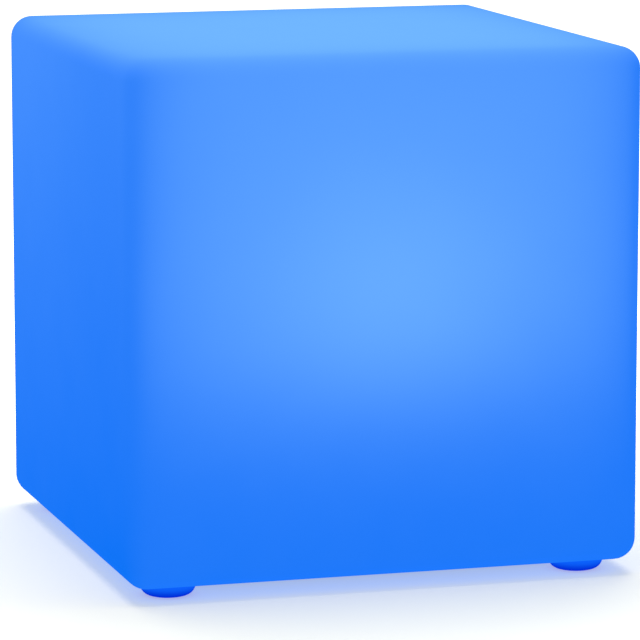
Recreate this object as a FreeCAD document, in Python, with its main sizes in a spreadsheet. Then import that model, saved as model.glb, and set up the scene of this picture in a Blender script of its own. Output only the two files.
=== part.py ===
import FreeCAD, Part
import math
import os
import re
import Sketcher
from FreeCAD import Vector

# A rechargeable LED cube light: a hollow rotomoulded cube on four push-in feet, lit from inside by a
# sealed light module that closes a square opening in its underside.
# Millimetres, +Z up. The origin is on the floor, under the middle of the cube. The front faces -Y.

document = FreeCAD.newDocument("LedCubeLight")

# ---------------------------------------------------------------- driving dimensions
DRIVING_SIZES = [
    # the cube's moulded shell
    ("cube_width", 400),
    ("cube_depth", 400),
    ("shell_height", 392),
    ("shell_wall", 5),
    ("edge_radius", 17),
    # the feet, and the blind sockets that their stems push into
    ("foot_height", 10),
    ("foot_radius", 21),
    ("foot_inset", 39),
    ("foot_bevel", 5.5),
    ("stem_flats", 8),
    ("stem_length", 9),
    # moulded nubs, threaded inserts in them, and the M4 screws that hold the light module
    ("nub_flats", 14),
    ("nub_cover", 2.5),
    ("insert_flats", 7),
    ("insert_length", 10),
    ("m4_radius", 2),
    ("m4_head_flats", 7),
    ("m4_head_height", 2.8),
    ("m4_length", 11),
    # the square recess and opening that take the light module
    ("recess_gap", 1.5),
    ("recess_corner", 12),
    ("recess_depth", 7),
    ("opening_gap", 2.4),
    ("opening_corner", 10),
    ("screw_inset", 8),
    ("gasket_width", 5),
    ("gasket_thickness", 1),
    # the module's base: a square flange that carries a deep cup
    ("flange_thickness", 4.5),
    ("sink_radius", 4.6),
    ("cup_wall", 2.5),
    ("cup_clip", 6),
    ("side_gap", 2.5),
    ("middle_gap", 7.4),
    ("end_gap", 1.8),
    ("lead_space", 15.6),
    ("rim_overhang", 7),
    ("rim_thickness", 4),
    ("seal_offset", 2.4),
    ("seal_width", 2),
    ("seal_height", 1.2),
    # snap hooks inside and outside the module
    ("hook_thickness", 1.5),
    ("hook_width", 8),
    ("hook_catch", 0.8),
    ("hook_nose", 1.2),
    # two 18650 cells in their snap-in cradle
    ("cell_radius", 9.2),
    ("cell_length", 65),
    ("cell_gap", 1.2),
    ("cradle_floor", 1.5),
    ("cradle_wall", 1.2),
    ("cradle_foot", 2),
    ("clip_rise", 6),
    ("clip_width", 13),
    ("clip_spread", 40),
    ("tab_thickness", 0.3),
    ("tab_tongue", 9),
    # the control board on its standoffs
    ("control_width", 38),
    ("control_depth", 60),
    ("board_thickness", 1.6),
    ("standoff_height", 22),
    ("standoff_side", 5),
    ("standoff_inset", 3),
    ("chip_side", 10),
    ("chip_height", 1.6),
    ("transistor_width", 6.5),
    ("transistor_depth", 6),
    ("transistor_height", 2.3),
    ("transistor_pitch", 8),
    ("inductor_side", 8),
    ("inductor_height", 4.5),
    ("capacitor_radius", 4),
    ("capacitor_height", 10),
    ("header_offset", 12),
    ("header_inset", 7),
    ("header_length", 9),
    ("header_width", 6),
    ("header_height", 6),
    ("header_wall", 0.8),
    ("plug_height", 7.6),
    ("pin_width", 1.5),
    ("pin_thickness", 0.6),
    ("pin_pitch", 4),
    # flat leads
    ("lead_width", 5),
    ("lead_thickness", 1.2),
    ("lead_bend", 2.4),
    ("lead_shift", 10),
    # the tray and the LED board on it
    ("tray_thickness", 2),
    ("tray_rib_width", 4),
    ("tray_rib_depth", 3.5),
    ("tray_rib_inset", 9.5),
    ("led_board_side_margin", 4.5),
    ("led_board_end_margin", 6.5),
    ("led_side", 5),
    ("led_height", 1.6),
    ("led_pitch_x", 20),
    ("led_pitch_y", 15),
    ("led_columns", 4),
    ("led_rows", 4),
    # the diffusing dome over the LEDs
    ("dome_flange_thickness", 2.5),
    ("dome_step", 2),
    ("dome_rise", 27.5),
    ("dome_draft", 12),
    ("dome_wall", 2),
    ("dome_clip", 6),
    ("dome_hook_width", 14),
    # the charging socket and its hinged cover
    ("socket_y", 14),
    ("socket_side", 10),
    ("socket_height", 12),
    ("socket_nose_radius", 4),
    ("socket_bore_radius", 3.2),
    ("socket_bore_depth", 9.5),
    ("socket_pin_radius", 1.05),
    ("socket_pin_setback", 2.2),
    ("cover_pocket_depth", 2.6),
    ("cover_thickness", 2.3),
    ("cover_width", 15),
    ("cover_end", 8.5),
    ("cover_hinge_offset", 14),
    ("cover_anchor_length", 12),
    ("cover_plug_radius", 2.8),
    ("cover_plug_taper", 0.4),
    ("cover_plug_height", 1.6),
    ("peg_side", 3),
    ("peg_barb", 1),
    ("peg_head", 1.4),
    ("finger_scoop", 4),
    # the sprung push switch
    ("switch_y", -14),
    ("switch_side", 15),
    ("switch_height", 12),
    ("nose_side", 12),
    ("button_side", 8.6),
    ("button_chamfer", 0.8),
    ("button_stand", 1.2),
    ("button_lip", 2),
    ("button_travel", 1.5),
    ("shoulder_side", 10),
    ("shoulder_thickness", 1.5),
    ("plunger_side", 4),
    ("plunger_reach", 3.2),
    ("boot_height", 5),
    ("boot_draft", 25),
    ("boot_wall", 0.5),
    # the charge indicator's light pipe
    ("pipe_offset", 14),
    ("pipe_side", 3),
    ("pipe_collar", 5),
    # clearances
    ("fit_gap", 0.05),
    ("slide_gap", 0.1),
    ("loose_gap", 0.3),
    ("hinge_gap", 0.3),
]

# Heights and places that follow from the driving dimensions.
DERIVED_SIZES = [
    # the cradle, and the cup that holds it beside the control board
    ("cell_spacing", "2 * cell_radius + cell_gap"),
    ("cradle_width", "cell_spacing + 2 * (cell_radius + slide_gap + cradle_wall)"),
    ("cradle_inner_length", "cell_length + 2 * (tab_thickness + slide_gap)"),
    ("cradle_length", "cradle_inner_length + 2 * cradle_wall"),
    ("cradle_foot_end", "cradle_length / 2 + cradle_foot"),
    ("cup_inner_width", "cradle_width + control_width + middle_gap + 2 * side_gap"),
    ("cup_inner_depth", "2 * (cradle_foot_end + slide_gap + hook_thickness + end_gap)"),
    ("cup_width", "cup_inner_width + 2 * cup_wall"),
    ("cup_depth", "cup_inner_depth + 2 * cup_wall"),
    ("cup_inner_clip", "cup_clip - cup_wall / 2"),
    ("rim_width", "cup_width + 2 * rim_overhang"),
    ("rim_depth", "cup_depth + 2 * rim_overhang"),
    ("rim_clip", "cup_clip + rim_overhang / 2"),
    ("pack_x", "side_gap + cradle_width / 2 - cup_inner_width / 2"),
    ("control_x", "cup_inner_width / 2 - side_gap - control_width / 2"),
    # the opening and recess that the module goes up through
    ("opening_side", "max(rim_width; rim_depth) + 2 * (slide_gap + hook_thickness + opening_gap)"),
    ("screw_reach", "opening_side / 2 + screw_inset"),
    ("recess_side", "2 * (screw_reach + screw_inset)"),
    ("flange_side", "recess_side - 2 * recess_gap"),
    ("flange_corner", "recess_corner - recess_gap"),
    # heights in the shell and the module
    ("floor_top", "foot_height + shell_wall"),
    ("recess_ceiling", "foot_height + recess_depth"),
    ("recess_top", "recess_ceiling + shell_wall"),
    ("foot_x", "cube_width / 2 - foot_inset"),
    ("foot_y", "cube_depth / 2 - foot_inset"),
    ("flange_top", "recess_ceiling - gasket_thickness"),
    ("flange_face", "flange_top - flange_thickness"),
    ("screw_seat", "flange_face + m4_head_height + slide_gap"),
    ("control_bottom", "flange_top + standoff_height"),
    ("control_top", "control_bottom + board_thickness"),
    ("plug_bottom", "control_top + 1.5 * header_wall"),
    ("plug_top", "plug_bottom + plug_height"),
    ("cup_top", "plug_top + lead_space + tray_thickness"),
    ("rim_bottom", "cup_top - rim_thickness"),
    ("seal_bottom", "cup_top - seal_height"),
    ("cell_z", "flange_top + cradle_floor + slide_gap + cell_radius"),
    ("cell_top", "cell_z + cell_radius"),
    ("standoff_dx", "control_width / 2 - standoff_inset"),
    ("standoff_dy", "control_depth / 2 - standoff_inset"),
    ("tray_bottom", "cup_top - tray_thickness"),
    ("header_x", "control_x - header_offset"),
    ("header_y", "control_depth / 2 - header_inset"),
    ("tray_slot_x", "header_x + lead_shift"),
    ("tray_rib_x", "cup_inner_width / 2 - tray_rib_inset"),
    ("led_board_width", "cup_inner_width - 2 * led_board_side_margin"),
    ("led_board_depth", "cup_inner_depth - 2 * led_board_end_margin"),
    ("led_board_top", "cup_top + board_thickness"),
    ("dome_flange_top", "cup_top + dome_flange_thickness"),
    ("dome_top", "dome_flange_top + dome_rise"),
    ("cover_ceiling", "flange_face + cover_pocket_depth"),
    ("cover_top", "flange_face + cover_thickness"),
    ("socket_rear", "flange_top + socket_height"),
    ("socket_bore_end", "cover_ceiling + socket_bore_depth"),
    ("socket_x", "control_x"),
    ("switch_x", "control_x"),
    ("pipe_x", "control_x + pipe_offset"),
    ("hinge_y", "socket_y + cover_hinge_offset"),
    ("anchor_y", "hinge_y + cover_anchor_length / 2"),
    ("button_face", "flange_face - button_travel - button_stand"),
    ("lip_top", "flange_face + button_lip"),
    ("shoulder_bottom", "lip_top + slide_gap"),
    ("shoulder_top", "shoulder_bottom + shoulder_thickness"),
    ("block_bottom", "shoulder_top + boot_height"),
    ("switch_rear", "flange_top + switch_height"),
    ("pipe_top", "control_bottom - slide_gap"),
]


def fill_sheet(name, rows):
    """A spreadsheet with one alias and its value on each row."""
    sheet = document.addObject("Spreadsheet::Sheet", name)
    for row, (alias, content) in enumerate(rows, start=1):
        sheet.set(f"A{row}", alias)
        sheet.set(f"B{row}", str(content))
        sheet.setAlias(f"B{row}", alias)
    document.recompute()
    return sheet


SHEET_OF = {alias: "Sizes" for alias, _ in DRIVING_SIZES}
SHEET_OF.update({alias: "Places" for alias, _ in DERIVED_SIZES})


def spelled(expression):
    """The expression with each alias written with the sheet that holds it."""

    def with_sheet(found):
        word = found.group(0)
        return f"{SHEET_OF[word]}.{word}" if word in SHEET_OF else word

    return re.sub(r"[a-z][a-z0-9_]*", with_sheet, str(expression))


sizes = fill_sheet("Sizes", DRIVING_SIZES)
places = fill_sheet(
    "Places",
    [(alias, "=" + spelled(formula).replace("Places.", "")) for alias, formula in DERIVED_SIZES],
)


def value(expression):
    """What an expression in the sheets' aliases comes to."""
    return float(sizes.evalExpression(spelled(expression)))


# ---------------------------------------------------------------- ways to build a body
def bind(thing, prop, expression):
    """Ties a property of a feature to an expression in the sheets' aliases."""
    thing.setExpression(prop, spelled(expression))


def new_body(name, x=0, y=0):
    """An empty body, placed in plan at x, y."""
    body = document.addObject("PartDesign::Body", name)
    body.Label = name
    bind(body, ".Placement.Base.x", x)
    bind(body, ".Placement.Base.y", y)
    return body


def origin_feature(body, role):
    return next(feature for feature in body.Origin.OriginFeatures if feature.Role == role)


def new_sketch(body, name, plane="XY_Plane", out=0):
    """A sketch on an origin plane of its body, moved out along the plane's normal."""
    sketch = body.newObject("Sketcher::SketchObject", name)
    sketch.AttachmentSupport = [(origin_feature(body, plane), "")]
    sketch.MapMode = "FlatFace"
    bind(sketch, ".AttachmentOffset.Base.z", out)
    return sketch


def hold(sketch, kind, geometry, point, expression):
    """Fixes a point's distance from the sketch's origin, or a circle's radius, by an expression."""
    if kind == "Radius":
        constraint = Sketcher.Constraint(kind, geometry, value(expression))
    else:
        constraint = Sketcher.Constraint(kind, -1, 1, geometry, point, value(expression))
    index = sketch.addConstraint(constraint)
    bind(sketch, f"Constraints[{index}]", expression)


def outline(sketch, corners):
    """A closed outline of straight lines through the corners, each given as two expressions."""
    spots = [Vector(value(x), value(y), 0) for x, y in corners]
    first = sketch.GeometryCount
    count = len(corners)
    for number, spot in enumerate(spots):
        sketch.addGeometry(Part.LineSegment(spot, spots[(number + 1) % count]), False)
    for number in range(count):
        follower = first + (number + 1) % count
        sketch.addConstraint(Sketcher.Constraint("Coincident", first + number, 2, follower, 1))
    for number, (x, y) in enumerate(corners):
        hold(sketch, "DistanceX", first + number, 1, x)
        hold(sketch, "DistanceY", first + number, 1, y)
    return sketch


def rectangle(sketch, width, depth, x=0, y=0):
    """A rectangle round the middle point x, y."""
    west, east = f"{x} - ({width}) / 2", f"{x} + ({width}) / 2"
    south, north = f"{y} - ({depth}) / 2", f"{y} + ({depth}) / 2"
    return outline(sketch, [(west, south), (east, south), (east, north), (west, north)])


def clipped_rectangle(sketch, width, depth, clip):
    """A rectangle round the origin whose corners are cut off at 45 degrees."""
    side, end = f"({width}) / 2", f"({depth}) / 2"
    inner_side, inner_end = f"({side} - ({clip}))", f"({end} - ({clip}))"
    return outline(sketch, [
        (inner_side, f"-{end}"), (side, f"-{inner_end}"), (side, inner_end), (inner_side, end),
        (f"-{inner_side}", end), (f"-{side}", inner_end), (f"-{side}", f"-{inner_end}"),
        (f"-{inner_side}", f"-{end}"),
    ])


def rounded_rectangle(sketch, width, depth, corner):
    """A rectangle round the origin whose corners are quarter circles."""
    first = sketch.GeometryCount
    half_x, half_y, radius = value(f"({width}) / 2"), value(f"({depth}) / 2"), value(corner)
    quarter = math.pi / 2
    for number, (side_x, side_y) in enumerate(((1, 1), (-1, 1), (-1, -1), (1, -1))):
        middle = Vector(side_x * (half_x - radius), side_y * (half_y - radius), 0)
        bow = Part.Circle(middle, Vector(0, 0, 1), radius)
        sketch.addGeometry(Part.ArcOfCircle(bow, number * quarter, (number + 1) * quarter), False)
        hold(sketch, "DistanceX", first + number, 3, f"{side_x} * (({width}) / 2 - ({corner}))")
        hold(sketch, "DistanceY", first + number, 3, f"{side_y} * (({depth}) / 2 - ({corner}))")
    hold(sketch, "Radius", first, 0, corner)
    for number in range(4):
        arc, follower = first + number, first + (number + 1) % 4
        side = sketch.addGeometry(
            Part.LineSegment(sketch.getPoint(arc, 2), sketch.getPoint(follower, 1)), False
        )
        sketch.addConstraint(Sketcher.Constraint("Tangent", arc, 2, side, 1))
        sketch.addConstraint(Sketcher.Constraint("Tangent", side, 2, follower, 1))
        if number < 3:
            level = "Horizontal" if number % 2 == 0 else "Vertical"
            sketch.addConstraint(Sketcher.Constraint(level, side))
    return sketch


def hexagon(sketch, across_flats, x=0, y=0):
    """A hexagon with two flats square to X."""
    corners = []
    for number in range(6):
        angle = 60 * number + 30
        reach = f"({across_flats}) / (2 * cos(30 deg))"
        corners.append((f"{x} + {reach} * cos({angle} deg)", f"{y} + {reach} * sin({angle} deg)"))
    return outline(sketch, corners)


def circle(sketch, radius, x=0, y=0):
    """A circle round the middle point x, y."""
    middle = Vector(value(x), value(y), 0)
    index = sketch.addGeometry(Part.Circle(middle, Vector(0, 0, 1), value(radius)), False)
    hold(sketch, "DistanceX", index, 3, x)
    hold(sketch, "DistanceY", index, 3, y)
    hold(sketch, "Radius", index, 3, radius)
    return sketch


def corners_of(x, y):
    """The four places at plus and minus x, y."""
    return [(x, y), (f"-({x})", y), (f"-({x})", f"-({y})"), (x, f"-({y})")]


def at_each(sketch, draw, size, spots):
    """The same round or hexagonal outline at each place."""
    for x, y in spots:
        draw(sketch, size, x, y)
    return sketch


def add_feature(body, kind, name, sketch):
    feature = body.newObject(kind, name)
    feature.Profile = sketch
    body.Tip = feature
    return feature


def pad(body, sketch, length, midplane=False):
    """Adds material from the sketch along its normal."""
    feature = add_feature(body, "PartDesign::Pad", sketch.Name + "_pad", sketch)
    bind(feature, "Length", length)
    feature.Midplane = midplane
    return feature


def volume_of(body):
    document.recompute()
    return body.Tip.Shape.Volume


def check_cut(body, before, name):
    """A cut that points away from the solid takes nothing off, which shows in the volume."""
    if volume_of(body) > before - 1e-3:
        raise RuntimeError(f"{name} cuts nothing")


def pocket(body, sketch, depth):
    """Cuts material above the sketch, along its normal."""
    before = volume_of(body)
    feature = add_feature(body, "PartDesign::Pocket", sketch.Name + "_cut", sketch)
    bind(feature, "Length", depth)
    feature.Reversed = True
    check_cut(body, before, feature.Name)
    return feature


def hollow_out(body, cavity):
    """Takes one body's solid out of another's."""
    before = volume_of(body)
    hollow = body.newObject("PartDesign::Boolean", cavity.Name + "_cut")
    hollow.Type = "Cut"
    hollow.setObjects([cavity])
    body.Tip = hollow
    check_cut(body, before, hollow.Name)


def turned(body, name, corners, cut=False):
    """Revolves an outline of (radius, height) corners about the body's upright axis."""
    before = volume_of(body) if cut else 0
    sketch = outline(new_sketch(body, name, "XZ_Plane"), corners)
    kind = "PartDesign::Groove" if cut else "PartDesign::Revolution"
    feature = add_feature(body, kind, name + "_turned", sketch)
    feature.ReferenceAxis = (sketch, ["V_Axis"])
    feature.Angle = 360
    if cut:
        check_cut(body, before, feature.Name)
    return feature


def row_of(body, axis, pitch, count):
    """Repeats the whole body along an axis."""
    pattern = body.newObject("PartDesign::LinearPattern", f"{body.Name}_row_{axis[0]}")
    pattern.TransformMode = "Whole shape"
    pattern.Direction = (origin_feature(body, axis), [""])
    bind(pattern, "Length", f"{pitch} * ({count} - 1)")
    bind(pattern, "Occurrences", count)
    body.Tip = pattern
    return pattern


def finish_edges(body, kind, name, size_name, size, wanted):
    """Rounds or chamfers the edges of the body for which wanted(edge) is true."""
    document.recompute()
    base = body.Tip
    numbered = enumerate(base.Shape.Edges, start=1)
    edges = [f"Edge{n}" for n, edge in numbered if not edge.Degenerated and wanted(edge)]
    if not edges:
        raise RuntimeError(f"{name} finds no edge")
    feature = body.newObject(kind, name)
    feature.Base = (base, edges)
    bind(feature, size_name, size)
    body.Tip = feature
    return feature


def fillet(body, name, radius, wanted):
    return finish_edges(body, "PartDesign::Fillet", name, "Radius", radius, wanted)


def chamfer(body, name, size, wanted):
    return finish_edges(body, "PartDesign::Chamfer", name, "Size", size, wanted)


def near(number, expression):
    return abs(number - value(expression)) < 1e-4


def level_at(shape, height):
    bounds = shape.BoundBox
    return near(bounds.ZMin, height) and near(bounds.ZMax, height)


def draft(body, name, angle, neutral):
    """Leans the upright faces that stand on the neutral height inwards."""
    document.recompute()
    base = body.Tip
    faces = list(enumerate(base.Shape.Faces, 1))
    upright = [
        f"Face{number}" for number, face in faces
        if abs(face.normalAt(0, 0).z) < 1e-6 and near(face.BoundBox.ZMin, neutral)
    ]
    flat = next(f"Face{number}" for number, face in faces if level_at(face, neutral))
    feature = body.newObject("PartDesign::Draft", name)
    feature.Base = (base, upright)
    feature.NeutralPlane = (base, [flat])
    bind(feature, "Angle", angle)


def level_edge(height, reach=None):
    """A test for the edges that lie flat at a height, within a reach of the axis along X and Y."""

    def wanted(edge):
        bounds = edge.BoundBox
        return level_at(edge, height) and (
            reach is None or max(bounds.XMax, bounds.YMax) < value(reach) + 1e-4
        )

    return wanted


def clipped_block(body, name, bottom, height, width, depth, clip, cut=False):
    """A pad, or a pocket, of a rectangle with clipped corners."""
    sketch = clipped_rectangle(new_sketch(body, name, out=bottom), width, depth, clip)
    return pocket(body, sketch, height) if cut else pad(body, sketch, height)


def rounded_block(body, name, bottom, height, side, corner, cut=False):
    """A pad, or a pocket, of a square with rounded corners."""
    sketch = rounded_rectangle(new_sketch(body, name, out=bottom), side, side, corner)
    return pocket(body, sketch, height) if cut else pad(body, sketch, height)


def hooks(body, name, x, reach, foot, catch):
    """A pair of snap hooks at plus and minus reach along Y, that close over what they catch."""
    walls = new_sketch(body, name + "_walls", out=foot)
    noses = new_sketch(body, name + "_noses", out=catch)
    for sign in ("", "-"):
        middle = f"{sign}({reach} + slide_gap + hook_thickness / 2)"
        rectangle(walls, "hook_width", "hook_thickness", x, middle)
        nose = f"{sign}({reach} + slide_gap + (hook_thickness - hook_catch) / 2)"
        rectangle(noses, "hook_width", "hook_thickness + hook_catch", x, nose)
    pad(body, walls, f"{catch} - ({foot})")
    pad(body, noses, "hook_nose")


def box(name, x, y, z, width, depth, height):
    """A plain block, centred in plan on x, y, with its foot at z."""
    body = new_body(name, x, y)
    pad(body, rectangle(new_sketch(body, name + "_plan", out=z), width, depth), height)
    return body


def flat_lead(name, y, route):
    """A flat lead swept along a route of (x, z) corners in a plane across Y, bent on arcs.

    Its two conductors lie side by side along Y, so every bend is about an axis along Y.
    """
    spots = [Vector(value(x), value(y), value(z)) for x, z in route]
    bend = value("lead_bend")
    edges = []
    start = spots[0]
    for before, corner, after in zip(spots, spots[1:], spots[2:]):
        back = (before - corner).normalize()
        onward = (after - corner).normalize()
        half_angle = back.getAngle(onward) / 2
        trim = bend / math.tan(half_angle)
        arc_start = corner + back * trim
        arc_end = corner + onward * trim
        middle = (back + onward).normalize()
        arc_middle = corner + middle * (bend / math.sin(half_angle) - bend)
        if start.distanceToPoint(arc_start) > 1e-6:
            edges.append(Part.LineSegment(start, arc_start).toShape())
        edges.append(Part.Arc(arc_start, arc_middle, arc_end).toShape())
        start = arc_end
    edges.append(Part.LineSegment(start, spots[-1]).toShape())
    path = Part.Wire(edges)
    heading = (spots[1] - spots[0]).normalize()
    across = Vector(0, value("lead_width") / 2, 0)
    thick = heading.cross(Vector(0, 1, 0)) * (value("lead_thickness") / 2)
    ring = [across + thick, across - thick, -across - thick, thick - across]
    corners = [spots[0] + offset for offset in ring]
    section = Part.makePolygon(corners + corners[:1])
    lead = document.addObject("Part::Feature", name)
    lead.Label = name
    lead.Shape = path.makePipeShell([section], True, True)
    print(name, "length", round(path.Length, 1), "mm, bends of", bend, "mm")
    return lead


# ---------------------------------------------------------------- the cube
def build_shell():
    """The rotomoulded cube: one wall all over, stepped up round the opening for the light module."""
    body = new_body("shell")
    plan = rectangle(new_sketch(body, "cube_plan", out="foot_height"), "cube_width", "cube_depth")
    pad(body, plan, "shell_height")
    fillet(body, "cube_edges", "edge_radius", lambda edge: True)

    cavity = new_body("cavity")
    inside = rectangle(
        new_sketch(cavity, "cavity_plan", out="floor_top"),
        "cube_width - 2 * shell_wall",
        "cube_depth - 2 * shell_wall",
    )
    pad(cavity, inside, "shell_height - 2 * shell_wall")
    # this bevel keeps the wall's thickness behind the middle of the rounded edge
    edge_bevel = "sqrt(2) * (shell_wall + (sqrt(2) - 1) * edge_radius) - 2 * shell_wall"
    chamfer(cavity, "cavity_edges", edge_bevel, lambda edge: True)
    hollow_out(body, cavity)

    rounded_block(body, "recess_wall", "floor_top", "recess_top - floor_top", "recess_side + 2 * shell_wall",
                  "recess_corner + shell_wall")
    screw_spots = corners_of("screw_reach", "screw_reach")
    foot_spots = corners_of("foot_x", "foot_y")
    module_nubs = at_each(new_sketch(body, "module_nubs", out="recess_top"), hexagon, "nub_flats", screw_spots)
    pad(body, module_nubs, "insert_length + nub_cover - shell_wall")
    foot_nubs = at_each(new_sketch(body, "foot_nubs", out="floor_top"), hexagon, "nub_flats", foot_spots)
    pad(body, foot_nubs, "stem_length + nub_cover - shell_wall")

    rounded_block(body, "recess", "foot_height", "recess_depth", "recess_side", "recess_corner", cut=True)
    rounded_block(body, "opening", "recess_ceiling", "shell_wall", "opening_side", "opening_corner", cut=True)
    insert_holes = new_sketch(body, "insert_holes", out="recess_ceiling")
    pocket(body, at_each(insert_holes, hexagon, "insert_flats + 2 * fit_gap", screw_spots), "insert_length")
    stem_holes = new_sketch(body, "stem_holes", out="foot_height")
    pocket(body, at_each(stem_holes, hexagon, "stem_flats + 2 * fit_gap", foot_spots), "stem_length + loose_gap")
    chamfer(body, "recess_lip", "shell_wall / 4", level_edge("foot_height", "recess_side / 2"))
    return body


def build_feet():
    """Four feet with a broad bevel below, each with a hexagonal stem that pushes into the shell."""
    body = new_body("feet", "-foot_x", "-foot_y")
    pad(body, circle(new_sketch(body, "foot_plan"), "foot_radius"), "foot_height")
    chamfer(body, "foot_edge", "foot_bevel", level_edge(0))
    pad(body, hexagon(new_sketch(body, "foot_stem", out="foot_height"), "stem_flats"), "stem_length")
    row_of(body, "X_Axis", "2 * foot_x", 2)
    row_of(body, "Y_Axis", "2 * foot_y", 2)
    return body


# ---------------------------------------------------------------- the light module's housing
def build_module_inserts():
    """Hexagonal threaded inserts moulded into the nubs round the opening."""
    body = new_body("module_inserts")
    spots = corners_of("screw_reach", "screw_reach")
    sketch = at_each(new_sketch(body, "insert_plan", out="recess_ceiling"), hexagon, "insert_flats", spots)
    pad(body, at_each(sketch, circle, "m4_radius + fit_gap", spots), "insert_length")
    return body


def build_module_gasket():
    """The flat ring that seals the module's flange against the shell, inside the line of the screws."""
    body = new_body("module_gasket")
    outer = "opening_side + 2 * gasket_width"
    clip = "opening_corner / 2"
    clipped_block(body, "gasket", "flange_top", "gasket_thickness", outer, outer, f"{clip} + gasket_width / 2")
    clipped_block(body, "gasket_inside", "flange_top", "gasket_thickness", "opening_side", "opening_side",
                  clip, cut=True)
    return body


def seal_outline(sketch, offset, clearance):
    """A clipped rectangle that runs at an offset outside the cup's inner wall."""
    grown = f"2 * ({offset} {clearance})"
    clip = f"cup_inner_clip + ({offset}) / 2"
    return clipped_rectangle(sketch, f"cup_inner_width + {grown}", f"cup_inner_depth + {grown}", clip)


def build_module_base():
    """The flange and cup, with the ribs, standoffs and hooks for all that the module holds."""
    body = new_body("module_base")
    rounded_block(body, "flange", "flange_face", "flange_thickness", "flange_side", "flange_corner")
    chamfer(body, "flange_edge", "flange_thickness / 6", level_edge("flange_face"))
    clipped_block(body, "cup", "flange_top", "cup_top - flange_top", "cup_width", "cup_depth", "cup_clip")
    clipped_block(body, "rim", "rim_bottom", "rim_thickness", "rim_width", "rim_depth", "rim_clip")
    clipped_block(body, "cup_inside", "flange_top", "cup_top - flange_top", "cup_inner_width", "cup_inner_depth",
                  "cup_inner_clip", cut=True)
    groove = seal_outline(new_sketch(body, "seal_groove", out="seal_bottom"), "seal_offset + seal_width", "")
    pocket(body, seal_outline(groove, "seal_offset", ""), "seal_height")

    # what the tray, the control board and the cradle stand on and snap into
    ribs = new_sketch(body, "tray_ribs", out="flange_top")
    for x, y in corners_of("tray_rib_x", "(cup_inner_depth - tray_rib_depth) / 2"):
        rectangle(ribs, "tray_rib_width", "tray_rib_depth", x, y)
    pad(body, ribs, "tray_bottom - flange_top")
    standoffs = new_sketch(body, "standoffs", out="flange_top")
    for x, y in corners_of("standoff_dx", "standoff_dy"):
        rectangle(standoffs, "standoff_side", "standoff_side", f"control_x + {x}", y)
    pad(body, standoffs, "standoff_height")
    hooks(body, "board_hooks", "control_x", "control_depth / 2", "flange_top", "control_top + slide_gap")
    hooks(body, "cradle_hooks", "pack_x", "cradle_foot_end", "flange_top",
          "flange_top + cradle_floor + slide_gap")

    # screw holes at the flange's corners, with round sinks for a socket driver
    spots = corners_of("screw_reach", "screw_reach")
    sinks = at_each(new_sketch(body, "screw_sinks", out="flange_face"), circle, "sink_radius", spots)
    pocket(body, sinks, "screw_seat - flange_face")
    holes = at_each(new_sketch(body, "screw_holes", out="flange_face"), circle, "m4_radius + slide_gap", spots)
    pocket(body, holes, "flange_thickness")

    # the pocket for the port cover, open to a finger scoop, and the holes above it
    cover = new_sketch(body, "cover_pocket", out="flange_face")
    cover_length = "cover_end + cover_hinge_offset + cover_anchor_length + 2 * loose_gap"
    cover_middle = "socket_y + (cover_hinge_offset + cover_anchor_length - cover_end) / 2"
    rectangle(cover, "cover_width + 2 * loose_gap", cover_length, "socket_x", cover_middle)
    pocket(body, cover, "cover_pocket_depth")
    scoop = new_sketch(body, "finger_scoop", out="flange_face")
    pocket(body, circle(scoop, "finger_scoop", "socket_x", "socket_y - cover_end"), "cover_pocket_depth")
    socket_hole = new_sketch(body, "socket_hole", out="cover_ceiling")
    pocket(body, circle(socket_hole, "socket_nose_radius + fit_gap", "socket_x", "socket_y"),
           "flange_thickness")
    peg_side = "peg_side + 2 * fit_gap"
    peg_hole = rectangle(new_sketch(body, "peg_hole", out="cover_ceiling"), peg_side, peg_side, "socket_x",
                         "anchor_y")
    pocket(body, peg_hole, "flange_thickness")

    # square holes for the switch's nose and for the light pipe
    nose_side = "nose_side + 2 * slide_gap"
    nose_hole = new_sketch(body, "nose_hole", out="flange_face")
    pocket(body, rectangle(nose_hole, nose_side, nose_side, "switch_x", "switch_y"), "flange_thickness")
    pipe_side = "pipe_side + 2 * fit_gap"
    pipe_hole = new_sketch(body, "pipe_hole", out="flange_face")
    pocket(body, rectangle(pipe_hole, pipe_side, pipe_side, "pipe_x"), "flange_thickness")
    return body


def build_module_screws():
    """Hexagon-head screws that hold the module's flange up against the shell."""
    body = new_body("module_screws")
    spots = corners_of("screw_reach", "screw_reach")
    heads = new_sketch(body, "screw_heads", out="screw_seat - m4_head_height")
    pad(body, at_each(heads, hexagon, "m4_head_flats", spots), "m4_head_height")
    pad(body, at_each(new_sketch(body, "screw_shanks", out="screw_seat"), circle, "m4_radius", spots),
        "m4_length")
    return body


# ---------------------------------------------------------------- the battery pack
def build_battery_cradle():
    """The cells' cradle: a floor and low sides, with two pairs of clips that close over the cells."""
    body = new_body("battery_cradle", "pack_x")
    floor = rectangle(new_sketch(body, "cradle_plan", out="flange_top"), "cradle_width", "cradle_length")
    pad(body, floor, "cradle_floor")
    feet = rectangle(new_sketch(body, "cradle_feet", out="flange_top"), "hook_width", "2 * cradle_foot_end")
    pad(body, feet, "cradle_floor")
    ends = new_sketch(body, "end_walls", out="flange_top")
    sides = new_sketch(body, "side_walls", out="flange_top")
    for sign in ("", "-"):
        rectangle(ends, "cradle_width", "cradle_wall", 0, f"{sign}(cradle_length - cradle_wall) / 2")
        rectangle(sides, "cradle_wall", "cradle_length", f"{sign}(cradle_width - cradle_wall) / 2", 0)
    pad(body, ends, "cell_z + cell_radius / 2 - flange_top")
    pad(body, sides, "cradle_floor + cell_radius / 2")
    for number, end in enumerate(("clip_spread / 2", "-clip_spread / 2")):
        clips = new_sketch(body, f"clips_{number}", "XZ_Plane", out=f"{end} - clip_width / 2")
        for sign in ("", "-"):
            clip_profile(clips, sign)
        pad(body, clips, "clip_width")
    return body


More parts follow.
